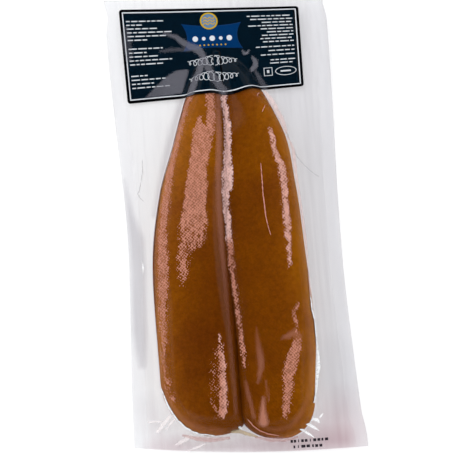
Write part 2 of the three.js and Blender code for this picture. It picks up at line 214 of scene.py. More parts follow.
def make_lobe(lobe):
    """A lobe's surface, in rings along y. A ring runs from the left edge over the top to the right edge
    and back below. Points nearer than 0.02 mm are merged: the whole ring at each end, and some along
    the lobe's edges, where a few short gaps and doubled edges stay."""
    rings, upper, lower = 260, 120, 60
    y = mix(lobe["end_y"], TIP_Y, (1 - np.cos(np.linspace(0, math.pi, rings))) / 2)[:, None]
    over, back = np.linspace(0, math.pi, upper), np.linspace(0, math.pi, lower + 2)[1:-1]
    u = np.concatenate([-np.cos(over), np.cos(back)])
    below = np.arange(len(u)) >= upper
    left, right = (np.minimum(*lobe_edges(lobe, y)), np.maximum(*lobe_edges(lobe, y)))
    x = mix(left + BELOW_UPPER_WEB, right - BELOW_UPPER_WEB, (u + 1) / 2)
    x = np.where(right - left > 2 * BELOW_UPPER_WEB, x, (left + right) / 2)
    lump = LUMP_HEIGHT * ripples(x, y, LUMP_LENGTH, seed=5) * rounding(y, lobe["end_y"], 20)
    top = lobe_top(lobe, u, y) - BELOW_UPPER_WEB + lump * (1 - u * u)
    z = np.where(below, np.maximum(lobe_underside(lobe, u, y), 0) + ABOVE_LOWER_WEB, top)
    z[0], z[-1] = z[0].mean(), z[-1].mean()
    points = np.stack([x, np.broadcast_to(y, x.shape), z], axis=-1).reshape(-1, 3)
    thing = make_mesh(lobe["name"], points, tube_faces(rings, len(u)))
    mark(thing, "painted_edge_glow", painted_edge_glow(lobe, x, y))
    mark(thing, "cling", clinging(x, y))
    merged = thing.modifiers.new("closed ends", "WELD")
    merged.merge_threshold = MERGED_WITHIN * MILLIMETRE
    return thing


def add_node(tree, kind, inputs=None, **settings):
    """A new node. Each input takes a value, or a link where it is given another node's output."""
    node = tree.nodes.new(kind)
    for key, value in settings.items():
        setattr(node, key, value)
    for key, value in (inputs or {}).items():
        if isinstance(value, bpy.types.NodeSocket):
            tree.links.new(value, node.inputs[key])
        else:
            node.inputs[key].default_value = value
    return node


def new_material(name):
    """An empty material and its node tree, with a place for its output."""
    material = bpy.data.materials.new(name)
    material.use_nodes = True
    material.node_tree.nodes.clear()
    return material, material.node_tree


def colour(red, green, blue):
    """A display colour of 0 to 255 as Blender's linear one."""
    def linear(v):
        return v / 255 / 12.92 if v < 10.3 else ((v / 255 + 0.055) / 1.055) ** 2.4
    return (linear(red), linear(green), linear(blue), 1)


def place_on(tree):
    """Where each point of the object lies, in metres."""
    return add_node(tree, "ShaderNodeTexCoord").outputs["Object"]


def marked(tree, name):
    """The number that was marked on the points by this name."""
    return add_node(tree, "ShaderNodeAttribute", attribute_name=name).outputs["Fac"]


def calculated(tree, operation, *numbers):
    """The outcome of a sum, product or other operation on numbers or links."""
    return add_node(tree, "ShaderNodeMath", dict(enumerate(numbers)), operation=operation).outputs[0]


def multiplied(tree, first, second):
    """The product of two vectors or colours, part by part."""
    product = add_node(tree, "ShaderNodeVectorMath", {0: first, 1: second}, operation="MULTIPLY")
    return product.outputs["Vector"]


def clouded(tree, place, scale, detail, roughness=0.5):
    """A cloudy, random pattern of about 0 to 1."""
    inputs = {"Vector": place, "Scale": scale, "Detail": detail, "Roughness": roughness}
    return add_node(tree, "ShaderNodeTexNoise", inputs).outputs["Fac"]


def mapped(tree, value, start, end, low, high):
    """A value carried over from the range start to end to the range low to high, and kept in it."""
    inputs = {"Value": value, "From Min": start, "From Max": end, "To Min": low, "To Max": high}
    return add_node(tree, "ShaderNodeMapRange", inputs).outputs["Result"]


def two_tones(tree, share, first, last, start=0, end=1):
    """A colour that goes from the first tone at start to the last at end."""
    tones = add_node(tree, "ShaderNodeValToRGB", {"Fac": share})
    for element, position, tone in zip(tones.color_ramp.elements, (start, end), (first, last)):
        element.position, element.color = position, tone
    return tones.outputs["Color"]


def mixed_colours(tree, share, first, second):
    """The first colour where the share is 0, the second where it is 1."""
    inputs = {"Factor": share, "A": first, "B": second}
    return add_node(tree, "ShaderNodeMix", inputs, data_type="RGBA").outputs["Result"]


def mixed_shaders(tree, share, first, second):
    """The first shader where the share is 0, the second where it is 1."""
    return add_node(tree, "ShaderNodeMixShader", {0: share, 1: first, 2: second}).outputs[0]


def mirrored(tree, share_of_skin):
    """The share of light that film mirrors, which grows at grazing angles."""
    fresnel = add_node(tree, "ShaderNodeFresnel", {"IOR": FILM_IOR})
    return calculated(tree, "MULTIPLY", fresnel.outputs[0], share_of_skin)


def waffle(tree, place):
    """The film's embossing, from -1 to 1: sin x sin y with a period of 1.8 mm, pulled about unevenly."""
    pull = add_node(tree, "ShaderNodeTexNoise", {"Vector": place, "Scale": 260, "Detail": 2})
    pulled = add_node(
        tree, "ShaderNodeVectorMath",
        {0: pull.outputs["Color"], 1: (WAFFLE_PULL, WAFFLE_PULL, 0), 2: place}, operation="MULTIPLY_ADD",
    )
    axes = add_node(tree, "ShaderNodeSeparateXYZ", {"Vector": pulled.outputs["Vector"]})
    turns = (calculated(tree, "MULTIPLY", axes.outputs[axis], 2 * math.pi / WAFFLE_PITCH) for axis in "XY")
    return calculated(tree, "MULTIPLY", *(calculated(tree, "SINE", turn) for turn in turns))


def film_relief(tree, place, depth):
    """The film's unevenness as a bump: two sizes of crumple over the waffle."""
    relief = waffle(tree, place)
    for scale, height in ((380, 4), (120, 6)):
        relief = calculated(tree, "MULTIPLY_ADD", clouded(tree, place, scale, 0), height, relief)
    bump = add_node(tree, "ShaderNodeBump", {"Height": relief, "Strength": 1, "Distance": depth})
    return bump.outputs["Normal"]


def roe_material():
    """Waxy amber brown. Broad clouds of a darker red brown and a golden brown, over fine pores and a
    grain of eggs. Light sinks in a little and comes out redder. Thin parts are painted brighter and more
    golden, a painted
    glow of light through them: the red, green and blue shares grow with the powers 1, 1.4 and 3 of the
    painted edge glow. The film clings to the roe without any air between, so the roe's skin has the film's
    gloss and relief."""
    material, tree = new_material("cured_roe")
    place = place_on(tree)
    clouds = clouded(tree, place, 28, 4, 0.55)
    tones = two_tones(tree, clouds, colour(96, 44, 4), colour(114, 58, 2), 0.34, 0.68)
    grain = add_node(tree, "ShaderNodeTexVoronoi", {"Vector": place, "Scale": 1100}).outputs["Distance"]
    speckle = mapped(tree, grain, 0, 1, 1.06, 0.9)
    pores = mapped(tree, clouded(tree, place, 420, 3, 0.7), 0.3, 0.7, 0.84, 1.16)
    grained = multiplied(tree, tones, calculated(tree, "MULTIPLY", speckle, pores))
    glow = marked(tree, "painted_edge_glow")
    painted_glow_tint = add_node(tree, "ShaderNodeCombineXYZ", {
        "X": glow, "Y": calculated(tree, "POWER", glow, 1.4), "Z": calculated(tree, "POWER", glow, 3),
    })
    skin = film_relief(tree, place, 0.000014)
    bump = add_node(
        tree, "ShaderNodeBump", {"Height": grain, "Strength": 0.25, "Distance": 0.0002, "Normal": skin},
    )
    flesh = add_node(tree, "ShaderNodeBsdfPrincipled", {
        "Base Color": multiplied(tree, grained, painted_glow_tint.outputs["Vector"]), "Roughness": 0.6,
        "Specular IOR Level": 0, "Subsurface Weight": 0.25, "Subsurface Radius": (1, 0.35, 0.08),
        "Subsurface Scale": 0.004, "Normal": bump.outputs["Normal"],
    })
    gloss = add_node(tree, "ShaderNodeBsdfGlossy", {"Color": ROE_SHEEN, "Roughness": 0.08, "Normal": skin})
    share = mirrored(tree, marked(tree, "cling"))
    wrapped = mixed_shaders(tree, share, flesh.outputs["BSDF"], gloss.outputs[0])
    add_node(tree, "ShaderNodeOutputMaterial", {"Surface": wrapped})
    return material


roe = roe_material()
lobe_pieces = [make_lobe(lobe) for lobe in LOBES]
for piece in lobe_pieces:
    piece.data.materials.append(roe)
    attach(piece, "root")

# The bag's film. Two webs of clear film, the upper one embossed with a fine waffle that lets the air
# out, welded together along all four sides. The vacuum draws them tight over the roe and across the
# groove. They are one closed skin: only the webs' outer faces are made, with a wall round the edge.
BAG_WIDTH = 121
BAG_SIDE = 243.5
END_SKEW = 8.6
SEAL_WIDTH = 7
FILM_THICKNESS = 0.14
END_BOW = 2.4
TOP_NOTCH, NOTCH_Y, NOTCH_SPREAD = 1.6, 116, 6
WAISTS = {-1: (4, -5, 75), 1: (3.8, -30, 100)}
WAIST_STEEPNESS, CORNER_LENGTH = 1.4, 16
EDGE_HEIGHT = 1.6
MARGIN_FALL = 1.7
FILLET_SIDE, FILLET_TIP, GROOVE_BRIDGE = 3, 2.5, 8
DROP_SIDE, DROP_TIP = 4, 0.9
CURLS = ((-60, 112, 18, 0.6), (60, 118, 22, 0.8), (-60, -116, 24, 2.2), (60, -126, 24, 0.8))
WAVE_HEIGHT, WAVE_LENGTH = 0.4, 58
END_LIFT, LIFT_FROM, LIFT_TO = 6, (60, 32), 126
LABEL_STIFFENS = (50, 72)
HANDOVER = 0.72
END_ROW = -0.905
FAR_BELOW, FAR_ABOVE = -50, 99
LOOSE_ON_ROE, LOOSE_BESIDE_ROE = 0.3, 0.1


def bag_side(side, y):
    """x of the bag's side: half its width, less a waist and a small notch below the top weld."""
    depth, waist_y, spread = WAISTS[side]
    drawn_in = depth * np.exp(-(((y - waist_y) / spread) ** 2) * WAIST_STEEPNESS)
    at_corner = smooth(np.abs(y), BAG_SIDE / 2 - CORNER_LENGTH, BAG_SIDE / 2)
    notch = TOP_NOTCH * np.exp(-(((y - NOTCH_Y) / NOTCH_SPREAD) ** 2))
    return side * (BAG_WIDTH / 2 - drawn_in * (1 - at_corner) - notch)


def bag_end(v, x):
    """y of the bag's ends: v is -1 at the bottom and 1 at the top. Both are cut askew, and the bottom
    one bows out in its middle."""
    bow = END_BOW * (1 - (x / (BAG_WIDTH / 2)) ** 2) * (v < 0)
    return v * BAG_SIDE / 2 - END_SKEW * x / BAG_WIDTH - bow


def edge_column(lobe, y):
    """x of the column of points that follows a lobe's outer edge."""
    tip = np.maximum(rounding(-y, -TIP_Y, TIP_ROUND), HANDOVER)
    outer = groove_x(y) + lobe["side"] * lobe_width(lobe, np.minimum(y, TIP_Y)) * tip
    return mix(lobe["end_x"], outer, np.maximum(rounding(y, lobe["end_y"], lobe["outer_round"]), HANDOVER))


def end_row(x):
    """y of the row of points that follows the lobes' blunt ends."""
    rows = []
    for lobe in LOBES:
        outer, inner = lobe_edges(lobe, np.float64(lobe["end_y"] + lobe["outer_round"]))
        outward = (x - lobe["end_x"]) * lobe["side"] > 0
        share = (x - lobe["end_x"]) / (np.where(outward, outer, inner) - lobe["end_x"])
        share = np.minimum(share, np.where(outward, HANDOVER, 1))
        depth = np.where(outward, lobe["outer_round"], lobe["inner_round"])
        rows.append(lobe["end_y"] + depth * (1 - np.sqrt(1 - share**2)))
    return np.where(x < groove_x(-115.0), rows[0], rows[1])


def film_plan():
    """The film's grid of points seen from above. Columns crowd at the lobes' edges and at the groove,
    rows at the blunt ends. A point is found by going from its column to its row a few times."""
    def spaced(start, end, count):
        return np.linspace(start, end, count, endpoint=False)
    on_margin, on_lobe = 26, 56
    band = np.repeat([0, 1, 2, 3], [on_margin, on_lobe, on_lobe, on_margin + 1])
    share = np.concatenate([
        spaced(0, 1, on_margin),
        spaced(0, 1, on_lobe),
        spaced(0, 1, on_lobe),
        np.linspace(0, 1, on_margin + 1),
    ])
    crowd_both = (1 - np.cos(np.pi * share)) / 2
    v = np.concatenate([
        mix(-1, END_ROW, np.sin(spaced(0, math.pi / 2, 30))),
        mix(END_ROW, -0.7, 1 - np.cos(spaced(0, math.pi / 2, 44))),
        spaced(-0.7, 0.5, 158),
        np.linspace(0.5, 1, 62),
    ])[:, None]
    x = np.zeros((len(v), len(share)))
    for _ in range(7):
        ends = end_row(x)
        low = mix(bag_end(-1, x), ends, (v + 1) / (END_ROW + 1))
        high = mix(ends, bag_end(1, x), (v - END_ROW) / (1 - END_ROW))
        y = np.where(v < END_ROW, low, high)
        left, right, groove = edge_column(LEFT_LOBE, y), edge_column(RIGHT_LOBE, y), groove_x(y)
        x = np.choose(band, [
            mix(bag_side(-1, y), left, np.sin(np.pi / 2 * share)),
            mix(left, groove, crowd_both),
            mix(groove, right, crowd_both),
            mix(right, bag_side(1, y), 1 - np.cos(np.pi / 2 * share)),
        ])
    return x, y


def outline_of_roe():
    """The roe's outline as one open line from the tip down the left side, into the notch and back."""
    wave = (1 - np.cos(np.linspace(0, math.pi, 60))) / 2
    runs = []
    for lobe, edge, start, end in (
        (LEFT_LOBE, 0, TIP_Y, LEFT_LOBE["end_y"]),
        (LEFT_LOBE, 1, LEFT_LOBE["end_y"], LEFT_LOBE["end_y"] + LEFT_LOBE["inner_round"]),
        (RIGHT_LOBE, 1, RIGHT_LOBE["end_y"] + RIGHT_LOBE["inner_round"], RIGHT_LOBE["end_y"]),
        (RIGHT_LOBE, 0, RIGHT_LOBE["end_y"], TIP_Y),
    ):
        y = mix(start, end, wave)
        runs.append(np.stack([lobe_edges(lobe, y)[edge], y], axis=1))
    return np.concatenate(runs)


def distance_to(line, x, y):
    """The least distance from each point to a line of straight pieces."""
    least = np.full(x.shape, np.inf)
    for a, b in zip(line[:-1], line[1:]):
        step = b - a
        t = np.clip(((x - a[0]) * step[0] + (y - a[1]) * step[1]) / max(step @ step, 1e-9), 0, 1)
        least = np.minimum(least, np.hypot(a[0] + step[0] * t - x, a[1] + step[1] * t - y))
    return least


def blended_max(a, b, depth):
    """The larger of two heights, with the corner between them filled by h² depth / 4. h falls from 1
    where they are equal to 0 where they are depth apart."""
    h = np.maximum(depth - np.abs(a - b), 0) / depth
    return np.maximum(a, b) + h * h * depth / 4


def lobe_heights(x, y):
    """For each lobe: its top and underside at (x, y), and whether the point lies on it."""
    found = []
    for lobe in LOBES:
        outer, inner = lobe_edges(lobe, y)
        half = np.maximum(np.abs(outer - inner) / 2, 0.2)
        u = (x - (outer + inner) / 2) / half
        on = (np.abs(u) < 1) & (y > lobe["end_y"]) & (y < TIP_Y)
        u = np.clip(u, -1, 1)
        found.append((np.where(on, lobe_top(lobe, u, y), FAR_BELOW), lobe_underside(lobe, u, y), on))
    return found


def margin_height(x, y, from_roe):
    """The welded margin's middle: from the rim it sinks to the bag's edge as (1 - share)^1.7, with its
    corners curled up and long shallow waves along it. The label keeps it flat, and it rises to its end."""
    sides = np.minimum(x - bag_side(-1, y), bag_side(1, y) - x)
    ends = np.minimum(y - bag_end(-1, x), bag_end(1, x) - y)
    from_edge = np.maximum(np.minimum(sides, ends), 0)
    share = from_roe / (from_roe + from_edge + 1e-6)
    stiff = smooth(y, *LABEL_STIFFENS)
    fall = mix(EDGE_HEIGHT, rim_height(y), (1 - share) ** MARGIN_FALL * (1 - stiff))
    curl = sum(lift * np.exp(-((x - cx) ** 2 + (y - cy) ** 2) / radius**2) for cx, cy, radius, lift in CURLS)
    wave = WAVE_HEIGHT * np.sin(2 * np.pi * (y + x * 0.4) / WAVE_LENGTH)
    lift = END_LIFT * smooth(y, mix(*LIFT_FROM, smooth(x, -30, 30)), LIFT_TO)
    return fall + (curl + wave * (1 - stiff)) * share + lift * mix(share, 1, stiff)


def film_heights(x, y):
    """The upper and the lower web over each point of the plan, and how far each point is from the roe."""
    (left_top, left_under, on_left), (right_top, right_under, on_right) = lobe_heights(x, y)
    on_roe = on_left | on_right
    from_roe = np.where(on_roe, 0, distance_to(outline_of_roe(), x, y))
    tent = smooth(y, TENT_FROM, TENT_TO)
    bridging = blended_max(left_top, right_top, mix(FILLET_SIDE, GROOVE_BRIDGE, smooth(y, -45, 10)))
    lobes = np.where(on_left & on_right, bridging, np.maximum(left_top, right_top))
    beside = rim_height(y) - mix(DROP_SIDE, DROP_TIP, tent) * from_roe
    margin = np.maximum(margin_height(x, y, from_roe), FILM_THICKNESS)
    upper = blended_max(np.where(on_roe, lobes, beside), margin, mix(FILLET_SIDE, FILLET_TIP, tent))
    under = np.minimum(np.where(on_left, left_under, FAR_ABOVE), np.where(on_right, right_under, FAR_ABOVE))
    lower = np.where(on_roe, np.minimum(under, margin), margin)
    return upper, lower, from_roe


def sheet_faces(rows, columns, first=0):
    """Faces between the neighbouring points of a grid, counted row by row."""
    row, column = np.meshgrid(np.arange(rows - 1), np.arange(columns - 1), indexing="ij")
    corner = (row * columns + column).ravel() + first
    return np.stack([corner, corner + 1, corner + columns + 1, corner + columns], axis=1)


def border(rows, columns):
    """The numbers of a grid's outer points, in order, anticlockwise."""
    grid = np.arange(rows * columns).reshape(rows, columns)
    return np.concatenate([grid[0, :-1], grid[:-1, -1], grid[-1, :0:-1], grid[:0:-1, 0]])


def make_closed_sheet(name, x, y, upper, lower):
    """A closed form over a grid: its upper and lower face, and a wall between their borders."""
    rows, columns = x.shape
    count = rows * columns
    points = np.concatenate([np.stack([x, y, z], axis=-1).reshape(-1, 3) for z in (upper, lower)])
    around = border(rows, columns)
    after = np.roll(around, -1)
    wall = np.stack([around + count, after + count, after, around], axis=1)
    faces = np.concatenate([sheet_faces(rows, columns), sheet_faces(rows, columns, count)[:, ::-1], wall])
    return make_mesh(name, points, faces)


# Painted highlights: the pale bands where the film shines are painted into its colour as pale strokes. Each
# stroke has its strength, and then rows of x, y, half width and fill.
PAINTED_HIGHLIGHTS = (
    (0.54, (
        (-6.6, 67.3, 2.1, 0.75), (-6.7, 62.0, 2.2, 0.8), (-6.9, 56.7, 2.0, 0.75), (-7.6, 51.0, 2.1, 0.75),
        (-8.8, 45.3, 2.7, 0.85),
    )),
    (0.54, (
        (-13.0, 53.7, 1.0, 0.7), (-14.1, 49.7, 1.8, 0.9), (-12.6, 45.0, 4.8, 0.95), (-13.1, 38.2, 5.1, 1),
        (-14.7, 32.7, 4.9, 1), (-16.1, 27.2, 4.6, 1), (-17.7, 16.1, 5.3, 1), (-19.4, 5.2, 5.6, 1),
        (-20.0, -0.2, 6.7, 0.65), (-21.2, -5.6, 7.0, 0.48), (-21.8, -10.9, 7.2, 0.42),
        (-24.7, -16.1, 4.5, 0.42), (-27.2, -21.3, 3.3, 0.46), (-27.6, -26.6, 3.0, 0.43),
        (-28.4, -31.8, 2.5, 0.4), (-28.8, -36.6, 1.3, 0.35),
    )),
    (0.68, (
        (-11.7, -64.7, 0.4, 0.5), (-12.0, -69.8, 0.9, 0.65), (-11.8, -75.0, 1.3, 0.85),
        (-11.7, -81.7, 1.5, 0.95), (-12.1, -87.9, 1.7, 0.95), (-12.3, -94.0, 1.9, 0.95),
        (-12.7, -100.6, 2.1, 1), (-13.6, -105.5, 1.6, 1),
    )),
    (0.36, (
        (-13.1, -69.8, 1.3, 0.14), (-13.6, -76.5, 2.7, 0.15), (-14.2, -83.6, 3.5, 0.16),
        (-14.9, -91.8, 3.8, 0.17), (-15.1, -98.9, 3.8, 0.18), (-15.1, -103.9, 3.2, 0.18),
    )),
    (0.5, (
        (-18.0, 67.1, 1.4, 0.8), (-24.9, 46.9, 1.4, 0.74), (-30.3, 28.4, 1.7, 0.78), (-34.4, 9.9, 1.9, 0.85),
        (-37.3, -6.8, 1.9, 0.85), (-38.3, -23.5, 2.7, 0.75), (-39.3, -38.3, 2.5, 0.75),
        (-40.5, -53.9, 2.0, 0.6), (-40.8, -64.4, 1.7, 0.45), (-41.9, -77.2, 1.3, 0.4),
        (-40.6, -87.8, 1.4, 0.4), (-37.9, -95.8, 1.1, 0.35),
    )),
    (0.68, (
        (23.6, 44.8, 0.7, 0.9), (24.3, 40.7, 1.2, 1), (25.2, 31.0, 1.0, 1), (27.8, 23.1, 1.5, 1),
        (28.3, 18.3, 1.9, 1), (28.0, 4.5, 1.4, 1), (28.2, -6.5, 1.6, 1), (28.1, -18.4, 1.0, 1),
        (27.5, -31.7, 0.6, 0.8),
    )),
    (0.5, (
        (29.8, -52.3, 0.6, 0.9), (27.2, -55.5, 0.7, 0.9), (27.8, -63.3, 0.7, 0.8), (28.4, -67.4, 0.7, 0.65),
    )),
    (0.52, (
        (28.1, -71.0, 1.6, 1), (27.5, -72.5, 2.3, 1), (25.1, -78.5, 2.8, 1), (22.2, -86.5, 2.8, 1),
        (21.2, -94.2, 2.2, 1), (19.4, -104.2, 1.8, 1), (17.8, -109.5, 0.6, 0.8),
    )),
    (0.78, (
        (1.3, 73.4, 1.7, 1), (0.6, 61.6, 1.3, 1), (1.6, 51.7, 1.7, 0.95), (1.1, 42.6, 1.6, 1),
        (0.1, 33.9, 1.9, 1), (-0.2, 27.9, 2.1, 1), (-0.8, 20.5, 2.8, 1), (-1.1, 16.3, 2.7, 1),
        (-2.3, 12.4, 2.0, 1), (-2.9, 7.8, 1.5, 1), (-2.7, -2.9, 1.4, 1), (-2.8, -13.3, 1.4, 1),
    )),
    (0.6, (
        (-2.8, -13.3, 1.4, 1), (-2.8, -23.1, 1.4, 0.9), (-2.5, -33.0, 1.1, 0.9), (-1.9, -43.9, 0.9, 0.9),
        (-1.0, -60.1, 0.8, 0.9), (-0.5, -73.5, 1.0, 0.9), (-0.4, -81.6, 0.7, 0.75),
    )),
)
# Painted sheen: smooth, faint pale strokes painted along the groove, on the lower lobes and round the roe's
# edges. Its strokes are given likewise.
PAINTED_SHEEN = (
    (0.24, (
        (-2.1, 67.3, 1.3, 1), (-3.6, 43.5, 1.3, 1), (-5.4, 24.1, 1.5, 1), (-6.6, 2.3, 1.4, 1),
        (-6.9, -19.4, 1.1, 1), (-6.4, -56.8, 0.8, 0.3), (-6.3, -95.8, 0.8, 0.35), (-6.6, -104.4, 0.7, 0.3),
    )),
    (0.5, ((8.0, -98.7, 0.4, 1), (7.2, -103.7, 1.0, 1), (7.1, -110.6, 2.3, 1))),
    (0.22, (
        (7.4, -62.4, 0.2, 0.5), (7.4, -67.6, 0.6, 0.6), (8.2, -77.6, 1.5, 1), (8.2, -82.3, 1.4, 1),
        (6.0, -90.3, 0.5, 1),
    )),
    (0.2, ((9.8, -90.2, 0.2, 1), (10.6, -99.9, 0.3, 1))),
    (0.22, ((20.0, -68.9, 0.4, 1), (23.2, -68.1, 1.3, 1), (26.4, -66.8, 1.6, 1), (28.9, -68.5, 1.3, 1))),
    (0.2, ((-0.3, -89.7, 0.5, 1), (0.3, -95.4, 0.8, 1), (2.4, -107.7, 0.8, 1))),
    (0.08, (
        (-42.9, -88.8, 0.8, 1), (-41.0, -94.7, 1.1, 1), (-38.3, -100.6, 1.3, 1), (-34.1, -105.8, 1.3, 1),
        (-28.2, -109.6, 1.2, 1), (-21.6, -111.9, 1.1, 1), (-14.5, -112.6, 0.9, 1),
    )),
    (0.07, (
        (33.7, -49.9, 0.6, 1), (34.4, -65.4, 1.0, 1), (34.5, -80.7, 1.2, 1), (33.1, -93.5, 1.3, 1),
        (30.2, -102.2, 1.3, 1), (26.0, -109.0, 1.3, 1), (21.0, -113.6, 1.2, 1), (15.2, -115.1, 1.1, 1),
        (9.1, -114.2, 0.9, 1), (4.2, -111.3, 0.6, 1),
    )),
)
# The margin's painted shade: greyer places where shadow is painted beside and below the roe and towards the
# lower end, and a grey wedge in the left weld. Each has its strength and the width of its soft edge, and then
# rows of x, y and half width.
PAINTED_SHADE = (
    (0.36, 3, (
        (-21.3, 66.2, 3.0), (-25.9, 53.8, 2.9), (-31.6, 37.2, 2.5), (-37.8, 15.5, 2.2), (-40.4, 4.8, 1.8),
    )),
    (0.4, 3.5, (
        (-56.5, 26.0, 0.1), (-54.4, 6.6, 1.9), (-52.1, -7.3, 3.7), (-52.2, -23.7, 3.5), (-53.6, -55.8, 3.5),
        (-53.6, -66.5, 2.7), (-53.6, -74.5, 1.6),
    )),
    (0.12, 12, ((50.9, -101.3, 4.3), (45.7, -110.4, 5.9), (43.9, -119.1, 6.4))),
    (0.14, 12, ((-52.0, -96.0, 3.5), (-48.0, -108.0, 5.0), (-40.0, -119.0, 6.0))),
    (0.27, 9, (
        (-52.3, -119, 2.7), (-31.6, -119, 3.7), (-5.7, -121, 4.3), (25.4, -121.7, 4.8), (48.9, -122.0, 4.8),
    )),
    (0.1, 14, ((48.1, -74.8, 5.3), (48.7, -95.9, 6.4), (49.8, -111.7, 6.4))),
)
# Painted shade that greys the right half of the margin.
PAINTED_SHADE_RIGHT = 0.22


def stroke(rows, x, y, edge=1.6, most=1):
    """How far a stroke covers each point: fill (1/2 + (half width - d) / edge), from 0 to most times
    fill, at the distance d from its middle line."""
    share = np.zeros(x.shape)
    for (x0, y0, half0, fill0), (x1, y1, half1, fill1) in zip(rows[:-1], rows[1:]):
        run_x, run_y = x1 - x0, y1 - y0
        t = np.clip(((x - x0) * run_x + (y - y0) * run_y) / (run_x**2 + run_y**2), 0, 1)
        inside = mix(half0, half1, t) - np.hypot(x0 + run_x * t - x, y0 + run_y * t - y)
        share = np.maximum(share, mix(fill0, fill1, t) * np.clip(0.5 + inside / edge, 0, most))
    return share


def painted_highlights_on(x, y):
    """The most any stroke of painted highlight covers a point, and the strength of the strokes there."""
    shares = np.array([stroke(rows, x, y, most=1.5) for _, rows in PAINTED_HIGHLIGHTS])
    strengths = np.array([strength for strength, _ in PAINTED_HIGHLIGHTS])[:, None, None]
    return shares.max(axis=0), (shares * strengths).sum(axis=0) / np.maximum(shares.sum(axis=0), 0.001)


def painted_sheen_on(x, y):
    """The share of painted sheen at each point."""
    return np.max([strength * stroke(rows, x, y) for strength, rows in PAINTED_SHEEN], axis=0)


def painted_shade_on(x, y):
    """How far painted shade greys the margin, from 0 to 1: more on the right and towards the lower end, and
    grey in the left weld.
    """
    shade_on_right = PAINTED_SHADE_RIGHT * smooth(x, -25, 25)
    shades = [strength * stroke([(*row, 1) for row in rows], x, y, edge) for strength, edge, rows in PAINTED_SHADE]
    return np.clip(shade_on_right + np.sum(shades, axis=0), 0, 1)


def painted_highlight_pattern(tree, place):
    """The share of painted highlight at each point: its edge is frayed by a fine crackle and by the waffle,
    and the waffle shows in it. Also how pale the painted highlight is, from 0 to 1."""
    crackle = clouded(tree, multiplied(tree, place, (1, 0.55, 1)), 620, 3, 0.65)
    frayed = calculated(tree, "MULTIPLY_ADD", crackle, 3, marked(tree, "painted_highlight_cover"))
    embossing = waffle(tree, place)
    meshed = calculated(tree, "MULTIPLY_ADD", embossing, 0.4, frayed)
    covered = mapped(tree, meshed, 1.8, 2.15, 0, 1)
    strength = marked(tree, "painted_highlight_strength")
    paleness = mapped(tree, strength, 0.6, 0.85, 0, 1)
    depth = mapped(tree, paleness, 0, 1, 0.34, 0.1)
    highlight_streaks = mapped(tree, crackle, 0.35, 0.65, 0.66, 1.16)
    woven = calculated(tree, "MULTIPLY_ADD", embossing, depth, highlight_streaks)
    highlight_share = calculated(tree, "MULTIPLY", covered, calculated(tree, "MULTIPLY", woven, strength))
    return highlight_share, paleness


def margin_painted_shade(tree, place):
    """The margin's colour: clear to grey with the painted shade and with fine streaks along the bag. At the
    lower end the painted shade turns pinker, a painted reflection of the roe's colour."""
    streaks = clouded(tree, multiplied(tree, place, (1, 0.04, 1)), 420, 2)
    painted_greyness = calculated(tree, "ADD", marked(tree, "painted_shade"), mapped(tree, streaks, 0, 1, -0.12, 0.12))
    along = add_node(tree, "ShaderNodeSeparateXYZ", {"Vector": place}).outputs["Y"]
    pink_reflection = mapped(tree, along, -0.09, -0.115, 0, 1)
    greyest = mixed_colours(tree, pink_reflection, (0.665, 0.65, 0.68, 1), (0.71, 0.59, 0.62, 1))
    return mixed_colours(tree, painted_greyness, (0.945, 0.945, 0.95, 1), greyest)


def film_material():
    """Clear film: mostly see-through with a faint grey cast, greyed on its margin by painted shade, with
    painted highlights and painted sheen in pale strokes, milky where the two webs are welded, and with a
    gloss over the waffle that is strongest at grazing angles."""
    material, tree = new_material("vacuum_film")
    place = place_on(tree)
    touching = marked(tree, "on_roe")
    tint = mixed_colours(tree, touching, margin_painted_shade(tree, place), (0.93, 0.925, 0.935, 1))
    clear = add_node(tree, "ShaderNodeBsdfTransparent", {"Color": tint}).outputs[0]
    milk = add_node(tree, "ShaderNodeBsdfDiffuse", {"Color": (0.9, 0.9, 0.92, 1)}).outputs[0]
    hazy = mixed_shaders(tree, mapped(tree, marked(tree, "weld"), 0, 1, 0, 0.12), clear, milk)
    highlight_share, paleness = painted_highlight_pattern(tree, place)
    # Painted highlight colour: pink, and paler where the strokes are strongest.
    highlight_tone = mixed_colours(tree, paleness, colour(211, 144, 121), colour(232, 200, 195))
    white = add_node(tree, "ShaderNodeBsdfDiffuse", {"Color": highlight_tone}).outputs[0]
    # Painted highlight and painted sheen show where this share is high.
    painted_light_share = calculated(tree, "MAXIMUM", highlight_share, marked(tree, "painted_sheen"))
    body = mixed_shaders(tree, painted_light_share, hazy, white)
    gloss = add_node(tree, "ShaderNodeBsdfGlossy", {
        "Color": mixed_colours(tree, touching, (1, 0.98, 0.97, 1), ROE_SHEEN),
        "Roughness": mapped(tree, touching, 0, 1, 0.32, 0.04),
        "Normal": film_relief(tree, place, 0.000012),
    })
    shader = mixed_shaders(tree, mirrored(tree, marked(tree, "loose")), body, gloss.outputs[0])
    add_node(tree, "ShaderNodeOutputMaterial", {"Surface": shader})
    return material


film_x, film_y = film_plan()
film_upper, film_lower, film_from_roe = film_heights(film_x, film_y)
film_outside = (film_upper + FILM_THICKNESS, np.maximum(film_lower - FILM_THICKNESS, 0))
film = make_closed_sheet("vacuum_film", film_x, film_y, *film_outside)
from_side = np.minimum(film_x - bag_side(-1, film_y), bag_side(1, film_y) - film_x)
weld = 1 - smooth(from_side, SEAL_WIDTH - 0.5, SEAL_WIDTH + 0.5)
on_roe = 1 - smooth(film_from_roe, 0, 1)
loose_on_roe = LOOSE_ON_ROE * (1 - clinging(film_x, film_y))
loose_beside = mix(LOOSE_BESIDE_ROE, 1, smooth(film_from_roe, 1, 4))
loose = np.where(film_from_roe == 0, loose_on_roe, loose_beside)
painted_highlight_cover, painted_highlight_strength = painted_highlights_on(film_x, film_y)
